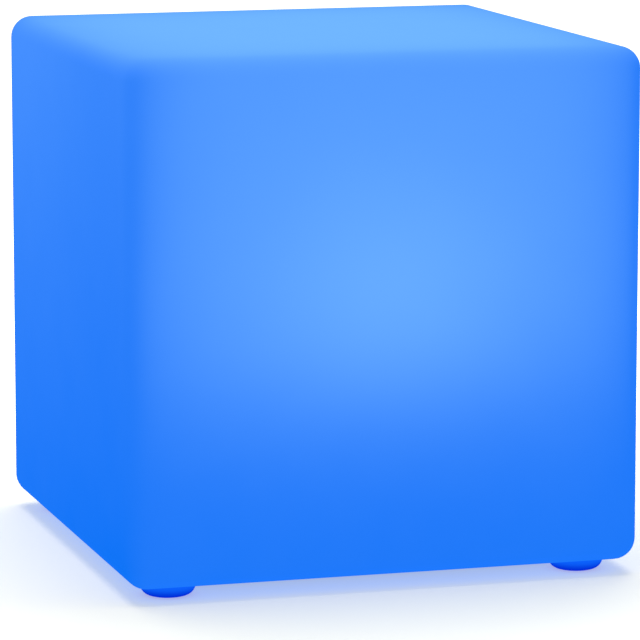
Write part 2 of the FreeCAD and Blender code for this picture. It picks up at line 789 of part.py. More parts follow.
def clip_profile(sketch, sign):
    """A clip's section: straight up past the cell's middle, then leaning in over its shoulder."""
    outside = "cradle_width / 2"
    inside = "cradle_width / 2 - cradle_wall"
    lean = "(sqrt(2) - 1) * cell_radius"
    top = "cell_z + clip_rise"
    corners = [
        (outside, "flange_top"), (outside, f"cell_z + {lean}"), (f"{outside} - cradle_wall", top),
        (f"{inside} - clip_rise + {lean}", top), (inside, f"cell_z + {lean}"), (inside, "flange_top"),
    ]
    outline(sketch, [(f"{sign}({x})", z) for x, z in corners])


def build_battery_cell(name, x):
    """One cell, along Y."""
    body = new_body(name, x)
    can = new_sketch(body, name + "_can", "XZ_Plane")
    pad(body, circle(can, "cell_radius", 0, "cell_z"), "cell_length", midplane=True)
    return body


def build_battery_tabs():
    """Nickel tabs across the cells' ends; the one at +Y has a tongue that lies back over a cell."""
    body = new_body("battery_tabs", "pack_x")
    tabs = new_sketch(body, "tab_plan", out="cell_z - cell_radius / 3")
    end = "(cell_length + tab_thickness + slide_gap) / 2"
    for sign in ("", "-"):
        rectangle(tabs, "cell_spacing + cell_radius / 2", "tab_thickness", 0, f"{sign}({end})")
    pad(body, tabs, "2 * cell_radius / 3")
    riser = new_sketch(body, "riser", out="cell_z")
    pad(body, rectangle(riser, "lead_width", "tab_thickness", "cell_spacing / 2", end),
        "cell_radius + slide_gap + tab_thickness")
    tongue = new_sketch(body, "tongue", out="cell_top + slide_gap")
    tongue_middle = f"{end} + (tab_thickness - tab_tongue) / 2"
    pad(body, rectangle(tongue, "lead_width", "tab_tongue", "cell_spacing / 2", tongue_middle),
        "tab_thickness")
    return body


# ---------------------------------------------------------------- the control board
def build_drive_transistors():
    """One switching transistor for each colour of LED, in a row."""
    body = new_body("drive_transistors", "control_x + control_width / 2 - transistor_width")
    first = rectangle(new_sketch(body, "transistor_plan", out="control_top"), "transistor_width",
                      "transistor_depth", 0, "-transistor_pitch")
    pad(body, first, "transistor_height")
    row_of(body, "Y_Axis", "transistor_pitch", 3)
    return body


def build_control_board():
    body = new_body("control_board", "control_x")
    plan = rectangle(new_sketch(body, "board_plan", out="control_bottom"), "control_width", "control_depth")
    pad(body, plan, "board_thickness")
    return body


def build_storage_capacitor():
    body = new_body("storage_capacitor", "control_x - control_width / 2 + 1.5 * capacitor_radius", "0")
    turned(body, "can", [
        ("0", "control_top"),
        ("capacitor_radius", "control_top"),
        ("capacitor_radius", "control_top + capacitor_height"),
        ("0", "control_top + capacitor_height"),
    ])
    return body


def header_spots():
    """The battery's and the LEDs' connectors, at the board's inner edge."""
    return [("header_x", "header_y - header_width / 2"), ("header_x", "-header_y + header_width / 2")]


def build_lead_headers():
    """Open-topped headers that the leads' plugs push into."""
    body = new_body("lead_headers")
    shells = new_sketch(body, "header_plan", out="control_top")
    wells = new_sketch(body, "header_wells", out="control_top + header_wall")
    for x, y in header_spots():
        rectangle(shells, "header_width", "header_length", x, y)
        inside = ["header_width - 2 * header_wall", "header_length - 2 * header_wall"]
        rectangle(wells, *inside, x, y)
    pad(body, shells, "header_height")
    pocket(body, wells, "header_height")
    return body


def build_lead_plugs():
    body = new_body("lead_plugs")
    plugs = new_sketch(body, "plug_plan", out="plug_bottom")
    for x, y in header_spots():
        width = "header_width - 2 * (header_wall + slide_gap)"
        rectangle(plugs, width, "header_length - 2 * (header_wall + slide_gap)", x, y)
    pad(body, plugs, "plug_height")
    return body


def build_board_pins(name, x, y, rear):
    """A pair of flat pins from the back of a part up to the underside of the control board."""
    body = new_body(name, x, y)
    pins = new_sketch(body, name + "_plan", out=rear)
    for sign in ("", "-"):
        rectangle(pins, "pin_thickness", "pin_width", 0, f"{sign}pin_pitch / 2")
    pad(body, pins, f"control_bottom - {rear}")
    return body


# ---------------------------------------------------------------- the LED board and its tray
def build_led_tray():
    """The white tray on the cup's ribs that carries the LED board, held down by the dome's flange."""
    body = new_body("led_tray")
    clipped_block(
        body, "tray", "tray_bottom", "tray_thickness", "cup_inner_width - 2 * loose_gap",
        "cup_inner_depth - 2 * loose_gap", "cup_inner_clip",
    )
    slot = new_sketch(body, "lead_slot", out="tray_bottom")
    rectangle(slot, "lead_thickness + 4 * loose_gap", "lead_width + 2 * loose_gap", "tray_slot_x",
              header_spots()[1][1])
    pocket(body, slot, "tray_thickness")
    return body


def build_led_chips():
    """Square LED packages in an even grid on the board."""
    body = new_body("led_chips")
    first_x = "-(led_columns - 1) * led_pitch_x / 2"
    first_y = "-(led_rows - 1) * led_pitch_y / 2"
    chip = rectangle(new_sketch(body, "chip_plan", out="led_board_top"), "led_side", "led_side", first_x,
                     first_y)
    pad(body, chip, "led_height")
    row_of(body, "X_Axis", "led_pitch_x", "led_columns")
    row_of(body, "Y_Axis", "led_pitch_y", "led_rows")
    return body


def build_light_dome():
    """The drafted diffuser over the LEDs; its flange closes the cup and hooks under the cup's rim."""
    body = new_body("light_dome")
    beyond = "2 * (slide_gap + hook_thickness)"
    clipped_block(body, "dome_flange", "cup_top", "dome_flange_thickness", f"rim_width + {beyond}",
                  f"rim_depth + {beyond}", f"rim_clip + {beyond} / 4")
    hollow = [f"cup_inner_{side} - 2 * dome_step" for side in ("width", "depth")]
    outer = [f"{side} + 2 * dome_wall" for side in hollow]
    clipped_block(body, "dome", "dome_flange_top", "dome_rise", *outer, "dome_clip")
    draft(body, "dome_draft_outside", "dome_draft", "dome_flange_top")
    chamfer(body, "dome_edge", "dome_clip / 2", level_edge("dome_top"))
    inside = new_body("dome_inside")
    clipped_block(inside, "dome_hollow", "cup_top", "dome_top - dome_wall - cup_top", *hollow,
                  "dome_clip - dome_wall / 2")
    draft(inside, "dome_draft_inside", "dome_draft", "cup_top")
    hollow_out(body, inside)

    # hooks down the middles of the four sides
    foot = "rim_bottom - slide_gap - hook_nose"
    walls = new_sketch(body, "dome_hook_walls", out=foot)
    noses = new_sketch(body, "dome_hook_noses", out=foot)
    wall = "(slide_gap + hook_thickness / 2)"
    nose = "(slide_gap + (hook_thickness - hook_catch) / 2)"
    for sign in ("", "-"):
        rectangle(walls, "hook_thickness", "dome_hook_width", f"{sign}(rim_width / 2 + {wall})", 0)
        rectangle(walls, "dome_hook_width", "hook_thickness", 0, f"{sign}(rim_depth / 2 + {wall})")
        caught = "hook_thickness + hook_catch"
        rectangle(noses, caught, "dome_hook_width", f"{sign}(rim_width / 2 + {nose})", 0)
        rectangle(noses, "dome_hook_width", caught, 0, f"{sign}(rim_depth / 2 + {nose})")
    pad(body, walls, f"cup_top - ({foot})")
    pad(body, noses, "hook_nose")
    return body


def build_dome_seal():
    """The soft ring in the rim's groove, under the dome's flange."""
    body = new_body("dome_seal")
    ring = seal_outline(new_sketch(body, "seal_plan", out="seal_bottom"), "seal_offset + seal_width", "- fit_gap")
    pad(body, seal_outline(ring, "seal_offset", "+ fit_gap"), "seal_height")
    return body


# ---------------------------------------------------------------- the charging socket and its cover
def build_socket_body():
    """A square jack with a round nose in the flange and a blind round mouth that faces down."""
    body = new_body("socket_body", "socket_x", "socket_y")
    block = rectangle(new_sketch(body, "jack_plan", out="flange_top"), "socket_side", "socket_side")
    pad(body, block, "socket_height")
    nose = circle(new_sketch(body, "jack_nose", out="cover_ceiling"), "socket_nose_radius")
    pad(body, nose, "flange_top - cover_ceiling")
    bore = circle(new_sketch(body, "jack_bore", out="cover_ceiling"), "socket_bore_radius")
    pocket(body, bore, "socket_bore_depth")
    return body


def build_socket_pin():
    """The centre contact, set back from the socket's mouth."""
    body = new_body("socket_pin", "socket_x", "socket_y")
    foot = "cover_ceiling + socket_pin_setback"
    pad(body, circle(new_sketch(body, "pin_plan", out=foot), "socket_pin_radius"), f"socket_bore_end - ({foot})")
    return body


def build_cover_anchor():
    """The fixed end of the silicone cover, held by a barbed peg through the flange."""
    body = new_body("cover_anchor", "socket_x", "anchor_y")
    plate = new_sketch(body, "anchor_plan", out="flange_face")
    pad(body, rectangle(plate, "cover_width", "cover_anchor_length"), "cover_thickness")
    peg = rectangle(new_sketch(body, "peg", out="cover_top"), "peg_side", "peg_side")
    pad(body, peg, "flange_top - cover_top")
    head = rectangle(new_sketch(body, "peg_head", out="flange_top"), "peg_side + 2 * peg_barb", "peg_side")
    pad(body, head, "peg_head")
    chamfer(body, "peg_taper", "peg_barb", level_edge("flange_top + peg_head"))
    return body


def build_port_cover():
    """The flap that swings down off the socket; its plug leans in with room to turn about the hinge."""
    body = new_body("port_cover", "socket_x", "socket_y")
    flap = new_sketch(body, "flap_plan", out="flange_face")
    length = "cover_end + cover_hinge_offset - hinge_gap"
    rectangle(flap, "cover_width", length, 0, "(cover_hinge_offset - hinge_gap - cover_end) / 2")
    pad(body, flap, "cover_thickness")

    def free_corner(edge):
        if not isinstance(edge.Curve, Part.Line) or abs(edge.tangentAt(edge.FirstParameter).z) < 0.999:
            return False
        return near(edge.Vertexes[0].Point.y, "-cover_end")

    chamfer(body, "flap_corners", "cover_width / 5", free_corner)
    turned(body, "plug", [
        ("0", "cover_top"),
        ("cover_plug_radius", "cover_top"),
        ("cover_plug_radius - cover_plug_taper", "cover_top + cover_plug_height"),
        ("0", "cover_top + cover_plug_height"),
    ])
    return body


# ---------------------------------------------------------------- the push switch
def square_pad(body, name, bottom, top, side, cut=False):
    """A square block, or a square bore, between two heights."""
    sketch = rectangle(new_sketch(body, name, out=bottom), side, side)
    return (pocket if cut else pad)(body, sketch, f"{top} - ({bottom})")


def build_switch_housing():
    """The switch's square housing; a lip at the mouth of its nose keeps the button in."""
    body = new_body("switch_housing", "switch_x", "switch_y")
    square_pad(body, "housing", "flange_top", "switch_rear", "switch_side")
    square_pad(body, "nose", "flange_face", "flange_top", "nose_side")
    square_pad(body, "button_bore", "flange_face", "lip_top", "button_side + 2 * slide_gap", cut=True)
    square_pad(body, "shoulder_bore", "lip_top", "switch_rear", "shoulder_side + 2 * slide_gap", cut=True)
    return body


def build_power_button():
    """The button, with the shoulder that stops it against the lip and the plunger above it."""
    body = new_body("power_button", "switch_x", "switch_y")
    square_pad(body, "cap", "button_face", "shoulder_bottom", "button_side")
    chamfer(body, "cap_edge", "button_chamfer", level_edge("button_face"))
    square_pad(body, "shoulder", "shoulder_bottom", "shoulder_top", "shoulder_side")
    square_pad(body, "plunger", "shoulder_top", "shoulder_top + plunger_reach", "plunger_side")
    return body


def build_return_boot():
    """The tapered silicone boot that seals the switch and pushes the button back out."""
    body = new_body("return_boot", "switch_x", "switch_y")
    hollow_side = "shoulder_side - 2 * (slide_gap + boot_wall)"
    square_pad(body, "boot", "shoulder_top", "block_bottom", "shoulder_side - 2 * slide_gap")
    draft(body, "boot_taper", "boot_draft", "shoulder_top")
    inside = new_body("boot_inside")
    square_pad(inside, "boot_hollow", "shoulder_top", "block_bottom", hollow_side)
    draft(inside, "boot_hollow_taper", "boot_draft", "shoulder_top")
    hollow_out(body, inside)
    return body


def build_switch_block():
    """The contact block that closes the housing behind the boot."""
    body = new_body("switch_block", "switch_x", "switch_y")
    square_pad(body, "block", "block_bottom", "switch_rear", "shoulder_side")
    return body


def build_light_pipe():
    """The clear pipe that brings the charge indicator's light to the flange's face."""
    body = new_body("charge_light_pipe", "pipe_x")
    pipe = rectangle(new_sketch(body, "pipe_plan", out="flange_face"), "pipe_side", "pipe_side")
    pad(body, pipe, "pipe_top - flange_face")
    collar = rectangle(new_sketch(body, "collar_plan", out="flange_top"), "pipe_collar", "pipe_collar")
    pad(body, collar, "pipe_side / 2")
    return body


# ---------------------------------------------------------------- the whole light
def build_leads():
    """The flat leads from the cells to the control board, and from there to the LED board."""
    battery_y, led_y = (y for _, y in header_spots())
    tongue_x = "pack_x + cell_spacing / 2"
    lead_z = "cell_top + slide_gap + tab_thickness + lead_thickness / 2"
    climb_x = "header_x - header_width - lead_bend"
    over_z = "plug_top + 2.5 * lead_bend"
    under_tray = "tray_bottom - 3 * lead_bend"
    return [
        flat_lead("battery_lead", battery_y, [
            (tongue_x, lead_z), (climb_x, lead_z), (climb_x, over_z), ("header_x", over_z),
            ("header_x", "plug_top"),
        ]),
        flat_lead("led_lead", led_y, [
            ("header_x", "plug_top"), ("header_x", under_tray), ("tray_slot_x", under_tray),
            ("tray_slot_x", "cup_top"),
        ]),
    ]


def build_light():
    """Every piece of the light, each in a node of its own."""
    return [
        build_shell(),
        build_feet(),
        build_module_inserts(),
        build_module_gasket(),
        build_module_base(),
        build_module_screws(),
        build_battery_cradle(),
        build_battery_cell("battery_cell_left", "pack_x - cell_spacing / 2"),
        build_battery_cell("battery_cell_right", "pack_x + cell_spacing / 2"),
        build_battery_tabs(),
        build_control_board(),
        box("control_chip", "control_x", 0, "control_top", "chip_side", "chip_side", "chip_height"),
        build_drive_transistors(),
        box("charge_inductor", "control_x", "control_depth / 3", "control_top", "inductor_side",
            "inductor_side", "inductor_height"),
        build_storage_capacitor(),
        build_lead_headers(),
        build_lead_plugs(),
        build_led_tray(),
        box("led_board", 0, 0, "cup_top", "led_board_width", "led_board_depth", "board_thickness"),
        build_led_chips(),
        build_light_dome(),
        build_dome_seal(),
        build_socket_body(),
        build_socket_pin(),
        build_board_pins("socket_pins", "socket_x", "socket_y", "socket_rear"),
        build_cover_anchor(),
        build_port_cover(),
        build_switch_housing(),
        build_power_button(),
        build_return_boot(),
        build_switch_block(),
        build_board_pins("switch_pins", "switch_x", "switch_y", "switch_rear"),
        build_light_pipe(),
    ] + build_leads()


def check_document(pieces):
    """Stops if any feature failed, or any piece isn't made of whole, valid solids."""
    for thing in document.Objects:
        if "Invalid" in thing.State or "Error" in thing.State:
            raise RuntimeError(f"{thing.Name} failed: {thing.State}")
    for piece in pieces:
        shape = piece.Shape
        if shape.isNull() or not shape.isValid() or not shape.Solids:
            raise RuntimeError(f"{piece.Label} has no valid solid")
        print(f"{piece.Label:22} solids {len(shape.Solids):2}  volume {shape.Volume:12.1f} mm3")


light = build_light()
document.recompute()
check_document(light)
os.makedirs("parts", exist_ok=True)
for piece in light:
    piece.Shape.exportStep(f"parts/{piece.Label}.step")
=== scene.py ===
"""The looks of a glowing garden cube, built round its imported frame."""

import logging
import math
from collections.abc import Callable
from dataclasses import dataclass
from enum import Enum
from functools import cache

import bmesh
import bpy
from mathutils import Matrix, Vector


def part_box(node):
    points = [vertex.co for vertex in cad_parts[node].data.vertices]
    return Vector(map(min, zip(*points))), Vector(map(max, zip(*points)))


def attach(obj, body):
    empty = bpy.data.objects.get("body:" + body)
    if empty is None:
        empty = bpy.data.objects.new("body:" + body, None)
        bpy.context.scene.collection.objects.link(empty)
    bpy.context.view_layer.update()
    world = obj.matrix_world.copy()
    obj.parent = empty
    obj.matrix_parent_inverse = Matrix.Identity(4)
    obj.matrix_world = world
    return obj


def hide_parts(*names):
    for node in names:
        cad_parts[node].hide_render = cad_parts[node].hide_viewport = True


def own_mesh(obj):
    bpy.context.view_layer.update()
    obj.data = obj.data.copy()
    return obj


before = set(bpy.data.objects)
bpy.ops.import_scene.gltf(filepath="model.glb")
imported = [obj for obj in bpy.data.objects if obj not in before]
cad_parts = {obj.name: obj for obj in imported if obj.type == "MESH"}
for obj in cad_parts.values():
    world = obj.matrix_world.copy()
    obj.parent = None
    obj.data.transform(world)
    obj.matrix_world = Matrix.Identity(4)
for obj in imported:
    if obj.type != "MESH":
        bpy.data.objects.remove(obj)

Colour = tuple[float, float, float]
Point = tuple[float, float, float]
Span = tuple[float, float]
Socket = bpy.types.NodeSocket
Amount = float | Socket
Paint = Colour | Socket
MeshItem = bmesh.types.BMVert | bmesh.types.BMEdge | bmesh.types.BMFace

log = logging.getLogger("cube_light")

MM = 0.001
SHELL_LOW, SHELL_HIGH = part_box("shell")
SHELL_ROUNDING = 17 * MM

HALF = 0.5  # the middle of a noise or of a repeat
TINY = 1e-9  # keeps a division off zero
NEAR = 0.1 * MM  # how close counts as the same place
STRAIGHT = 0.999  # the cosine above which two directions are the same
SMOOTH_ANGLE = math.radians(25)
ROUND = 0.5  # a bevel's profile that is an arc

NO_LIGHT = (0.0, 0.0, 0.0)
WHITE = (1.0, 1.0, 1.0)


# ---------------------------------------------------------------- shader graphs
@dataclass(frozen=True)
class Pattern:
    """A fractal noise: its blotches in a metre, its octaves and its scale's factor along each axis."""

    scale: float
    detail: float = 3.0
    stretch: Point = (1.0, 1.0, 1.0)


class Graph:
    """The nodes of a material or of the world, written as expressions."""

    def __init__(self, owner: bpy.types.Material | bpy.types.World) -> None:
        """Empty the owner's nodes.

        Args:
            owner: the material or the world.
        """
        owner.use_nodes = True
        self.owner = owner
        self.tree = owner.node_tree
        self.tree.nodes.clear()
        self._axes: tuple[Socket, Socket, Socket] | None = None

    @classmethod
    def of_material(cls, name: str) -> "Graph":
        """Return the empty graph of a new material."""
        return cls(bpy.data.materials.new(name))

    def node(self, kind: str, **settings: object) -> bpy.types.Node:
        """Add a node.

        Args:
            kind: the node's type.
            **settings: values for its properties.

        Returns:
            The new node.
        """
        made = self.tree.nodes.new(kind)
        for name, value in settings.items():
            setattr(made, name, value)
        return made

    def feed(self, socket: Socket, value: object) -> None:
        """Give a socket a number, a colour or another socket's output.

        Args:
            socket: the input.
            value: what goes into it.
        """
        if isinstance(value, bpy.types.NodeSocket):
            self.tree.links.new(value, socket)
        elif socket.type == "RGBA":
            socket.default_value = (*value, 1.0)
        else:
            socket.default_value = value

    def position(self) -> Socket:
        """Return the point's place in the object's own metres."""
        return self.node("ShaderNodeTexCoord").outputs["Object"]

    def axes(self) -> tuple[Socket, Socket, Socket]:
        """Split the point's place, once for the whole graph.

        Returns:
            Its x, y and z in metres.
        """
        if self._axes is None:
            split = self.node("ShaderNodeSeparateXYZ")
            self.feed(split.inputs[0], self.position())
            self._axes = (split.outputs[0], split.outputs[1], split.outputs[2])
        return self._axes

    def math(self, operation: str, *values: Amount) -> Socket:
        """Work out a number.

        Args:
            operation: the math node's operation.
            *values: its inputs.

        Returns:
            The result.
        """
        made = self.node("ShaderNodeMath", operation=operation)
        for socket, value in zip(made.inputs, values):
            self.feed(socket, value)
        return made.outputs[0]

    def add(self, *values: Amount) -> Socket:
        """Add numbers up.

        Args:
            *values: two or more numbers.

        Returns:
            Their sum.
        """
        total = values[0]
        for value in values[1:]:
            total = self.math("ADD", total, value)
        return total

    def times(self, *values: Amount) -> Socket:
        """Multiply numbers.

        Args:
            *values: two or more numbers.

        Returns:
            Their product.
        """
        total = values[0]
        for value in values[1:]:
            total = self.math("MULTIPLY", total, value)
        return total

    def minus(self, first: Amount, second: Amount) -> Socket:
        """Return the first value less the second."""
        return self.math("SUBTRACT", first, second)

    def size_of(self, value: Socket) -> Socket:
        """Return a value without its sign."""
        return self.math("ABSOLUTE", value)

    def span(self, share: Socket, ends: Span) -> Socket:
        """Return the number that lies a share of the way from the first end to the second."""
        return self.add(ends[0], self.times(share, ends[1] - ends[0]))

    def fade(self, distance: Amount, length: float) -> Socket:
        """Return a number that falls from 1, and over each length to about a third of itself."""
        return self.math("EXPONENT", self.math("DIVIDE", distance, -length))

    def hump(self, value: Amount, middle: float, spread: float) -> Socket:
        """Return a bell curve's height at a value, with its middle and its standard deviation."""
        off = self.math("DIVIDE", self.minus(value, middle), spread)
        return self.math("EXPONENT", self.times(off, off, -HALF))

    def step(self, value: Amount, start: float, end: float) -> Socket:
        """Work out a smooth rise.

        Args:
            value: where it is read.
            start: where it is 0.
            end: where it is 1, which may be the lower of the two.

        Returns:
            Its height.
        """
        made = self.node("ShaderNodeMapRange", interpolation_type="SMOOTHERSTEP")
        for name, number in (("Value", value), ("From Min", start), ("From Max", end)):
            self.feed(made.inputs[name], number)
        return made.outputs["Result"]

    def blend(self, amount: Amount, first: Paint, second: Paint) -> Socket:
        """Mix two colours.

        Args:
            amount: 0 for the first, 1 for the second.
            first: a colour.
            second: a colour.

        Returns:
            The mixed colour.
        """
        made = self.node("ShaderNodeMix", data_type="RGBA", clamp_factor=True)
        colours = [socket for socket in made.inputs if socket.type == "RGBA"]
        self.feed(made.inputs[0], amount)
        self.feed(colours[0], first)
        self.feed(colours[1], second)
        return next(socket for socket in made.outputs if socket.type == "RGBA")

    def noise(self, pattern: Pattern) -> Socket:
        """Lay a fractal noise.

        Args:
            pattern: its grain.

        Returns:
            The noise, between 0 and 1.
        """
        mapping = self.node("ShaderNodeMapping")
        self.feed(mapping.inputs["Vector"], self.position())
        self.feed(mapping.inputs["Scale"], pattern.stretch)
        made = self.node("ShaderNodeTexNoise")
        self.feed(made.inputs["Vector"], mapping.outputs[0])
        self.feed(made.inputs["Scale"], pattern.scale)
        self.feed(made.inputs["Detail"], pattern.detail)
        return made.outputs["Fac"]

    def cells(self, scale: float) -> Socket:
        """Scatter points.

        Args:
            scale: how many go into a metre.

        Returns:
            The distance to the nearest, as a share of a cell.
        """
        made = self.node("ShaderNodeTexVoronoi")
        self.feed(made.inputs["Vector"], self.position())
        self.feed(made.inputs["Scale"], scale)
        return made.outputs["Distance"]

    def bump(self, height: Socket, depth: float) -> Socket:
        """Stand in for a fine relief.

        Args:
            height: the relief, between 0 and 1.
            depth: its real depth in metres.

        Returns:
            The surface's normal.
        """
        made = self.node("ShaderNodeBump")
        self.feed(made.inputs["Height"], height)
        self.feed(made.inputs["Distance"], depth)
        self.feed(made.inputs["Strength"], 1.0)
        return made.outputs[0]

    def seen(self) -> Socket:
        """Find the rays that show a surface to the camera, straight or by way of gloss or glass.

        Returns:
            1 for such a ray, and else 0.
        """
        rays = self.node("ShaderNodeLightPath").outputs
        kinds = self.add(*(rays[f"Is {kind} Ray"] for kind in ("Camera", "Glossy", "Transmission")))
        return self.math("MINIMUM", kinds, 1.0)

    def shader(self, kind: str, **inputs: object) -> Socket:
        """Add a shader.

        Args:
            kind: the node's type.
            **inputs: its inputs by name, with underscores for spaces.

        Returns:
            Its output.
        """
        made = self.node(kind)
        for name, value in inputs.items():
            self.feed(made.inputs[name.replace("_", " ")], value)
        return made.outputs[0]

    def close(self, surface: Socket, output: str = "ShaderNodeOutputMaterial") -> None:
        """Send a shader to the graph's output."""
        self.feed(self.node(output).inputs["Surface"], surface)

    def principled(self, **inputs: object) -> bpy.types.Material:
        """Close the graph with a Principled surface and return its material."""
        self.close(self.shader("ShaderNodeBsdfPrincipled", **inputs))
        return self.owner


def shade(colour: Colour, share: float) -> Colour:
    """Return a colour at a share of its brightness."""
    return tuple(share * channel for channel in colour)


# ---------------------------------------------------------------- finishes
@dataclass(frozen=True)
class GlowingShell:
    """Translucent moulded polyethylene, lit from a lamp in the middle of its floor.

    A glow of 0 is the painted light's deep blue, and a glow of 1 its pale one: the whole glow is painted
    light, standing in for the lamp's light through the shell.
    """

    name: str = "glowing_shell"
    # painted light: the base colour is the lit shell's blue, though the real shell is milky white
    body: Colour = (0.004, 0.015, 0.20)
    glow_deep: Colour = (0.001, 0.163, 0.82)
    glow_pale: Colour = (0.160, 0.452, 1.0)
    # painted shade: the flat underside's glow is dimmed inward of its rims, towards the recess
    underside_dim_glow: Colour = (0.0, 0.062, 0.30)
    half_side: float = SHELL_HIGH.x
    middle: float = (SHELL_LOW.z + SHELL_HIGH.z) / 2
    half_height: float = (SHELL_HIGH.z - SHELL_LOW.z) / 2
    rounding: float = SHELL_ROUNDING
    # painted light on the upright faces: a spot in the middle that fades to the rims and the floor
    face_floor: float = 0.06
    face_level: float = 0.47
    face_rim: float = 26 * MM
    rise_middle: float = 149 * MM
    rise_length: float = 35.5 * MM
    spot_level: float = 0.385
    spot_height: float = 200 * MM
    spot_width_spread: float = 77 * MM
    spot_height_spread: float = 82 * MM
    # painted shade: the left side's glow is darker than the right's and rises towards the back
    left_rise: float = 0.247
    left_back_floor: float = 0.04
    left_back_rise: float = 0.08
    # painted shade along the top's rims
    top_rim: float = 32 * MM
    top_rim_shade: float = 0.38
    underside_share: Span = (0.85, 1.0)
    underside_reach: Span = (195 * MM, 105 * MM)
    cloud: Pattern = Pattern(22.0, 2.0)
    mottle: float = 0.03
    fine_skin: Pattern = Pattern(900.0)
    broad_skin: Pattern = Pattern(160.0)
    skin_mix: Span = (0.7, 0.3)
    skin_depth: float = 0.02 * MM
    wear: Pattern = Pattern(60.0)
    roughness: Span = (0.46, 0.56)

    def face_shares(self, graph: Graph) -> list[Socket]:
        """Work out how far a point's surface faces along each axis, also on the rounded edges.

        Args:
            graph: the material's graph.

        Returns:
            The shares along x, y and z, which add up to 1.
        """
        x, y, z = graph.axes()
        reaches = (self.half_side, self.half_side, self.half_height)
        squares = []
        for place, reach in zip((x, y, graph.minus(z, self.middle)), reaches):
            beyond = graph.minus(graph.size_of(place), reach - self.rounding)
            beyond = graph.math("MAXIMUM", beyond, 0.0)
            squares.append(graph.times(beyond, beyond))
        total = graph.math("MAXIMUM", graph.add(*squares), TINY)
        return [graph.math("DIVIDE", square, total) for square in squares]

    def near_rim(self, graph: Graph, place: Socket, reach: float) -> Socket:
        """Return a number that is 1 at a face's rim and fades inwards over a reach."""
        return graph.fade(graph.minus(self.half_side, graph.size_of(place)), reach)

    def spot_glow(self, graph: Graph, across: Socket) -> Socket:
        """Work out an upright face's painted glow: a broad painted pool of light that fades to the rims
        and the floor.

        Args:
            graph: the material's graph.
            across: the place along the face's width.

        Returns:
            The glow.
        """
        _, _, z = graph.axes()
        falling = graph.fade(graph.minus(z, self.rise_middle), self.rise_length)
        rise = graph.math("DIVIDE", 1.0, graph.add(falling, 1.0))
        inside_rim = graph.minus(1.0, self.near_rim(graph, across, self.face_rim))
        spot = graph.times(
            graph.hump(across, 0.0, self.spot_width_spread),
            graph.hump(z, self.spot_height, self.spot_height_spread),
            self.spot_level,
        )
        level = graph.add(graph.times(inside_rim, self.face_level), spot)
        return graph.add(graph.times(rise, level), self.face_floor)

    def left_glow(self, graph: Graph) -> Socket:
        """Work out the left side's glow, painted darker than the right as painted shade, which rises
        with height and towards the back.

        Args:
            graph: the material's graph.

        Returns:
            The glow.
        """
        _, y, z = graph.axes()
        height = graph.math("DIVIDE", z, 2 * self.half_height)
        back = graph.step(y, -self.half_side, self.half_side)
        at_back = graph.add(graph.times(height, height, self.left_back_rise), self.left_back_floor)
        return graph.add(graph.times(height, self.left_rise), graph.times(back, at_back))

    def side_glow(self, graph: Graph) -> Socket:
        """Work out the glow of both sides, of which the right one is like the front.

        Args:
            graph: the material's graph.

        Returns:
            The glow.
        """
        x, y, _ = graph.axes()
        on_right = graph.math("GREATER_THAN", x, 0.0)
        right = graph.times(on_right, self.spot_glow(graph, y))
        return graph.add(right, graph.times(graph.minus(1.0, on_right), self.left_glow(graph)))

    def top_glow(self, graph: Graph) -> Socket:
        """Work out the top's painted glow, the palest of all as if lit from above, and even but for
        painted shade at its rims.

        Args:
            graph: the material's graph.

        Returns:
            The glow.
        """
        x, y, _ = graph.axes()
        kept = []
        for place in (x, y):
            rim_shade = graph.times(self.near_rim(graph, place, self.top_rim), self.top_rim_shade)
            kept.append(graph.minus(1.0, rim_shade))
        return graph.times(*kept)

    def light(self, graph: Graph) -> Socket:
        """Work out the painted light that leaves the shell, which is dimmest underneath.

        Args:
            graph: the material's graph.

        Returns:
            The light's colour.
        """
        x, y, z = graph.axes()
        along_x, along_y, along_z = self.face_shares(graph)
        above = graph.math("GREATER_THAN", z, self.middle)
        beneath = graph.times(along_z, graph.minus(1.0, above))
        glow = graph.add(
            graph.times(along_x, self.side_glow(graph)),
            graph.times(along_y, self.spot_glow(graph, x)),
            graph.times(along_z, above, self.top_glow(graph)),
            graph.times(beneath, self.face_floor),
            graph.times(graph.minus(graph.noise(self.cloud), HALF), self.mottle),
        )
        # painted shade: the glow dims to a darker blue on the flat underside, inward of its rims
        out = graph.math("MAXIMUM", graph.size_of(x), graph.size_of(y))
        flat = graph.step(beneath, *self.underside_share)
        inward = graph.times(flat, graph.step(out, *self.underside_reach))
        return graph.blend(inward, graph.blend(glow, self.glow_deep, self.glow_pale), self.underside_dim_glow)

    def build(self) -> bpy.types.Material:
        """Build the shell's material.

        Returns:
            The material.
        """
        graph = Graph.of_material(self.name)
        fine = graph.times(graph.noise(self.fine_skin), self.skin_mix[0])
        broad = graph.times(graph.noise(self.broad_skin), self.skin_mix[1])
        return graph.principled(
            # the blue base is painted light, the lit shell's look
            Base_Color=self.body,
            Roughness=graph.span(graph.noise(self.wear), self.roughness),
            Specular_IOR_Level=0.0,
            Emission_Color=self.light(graph),
            Emission_Strength=1.0,
            Normal=graph.bump(graph.add(fine, broad), self.skin_depth),
        )


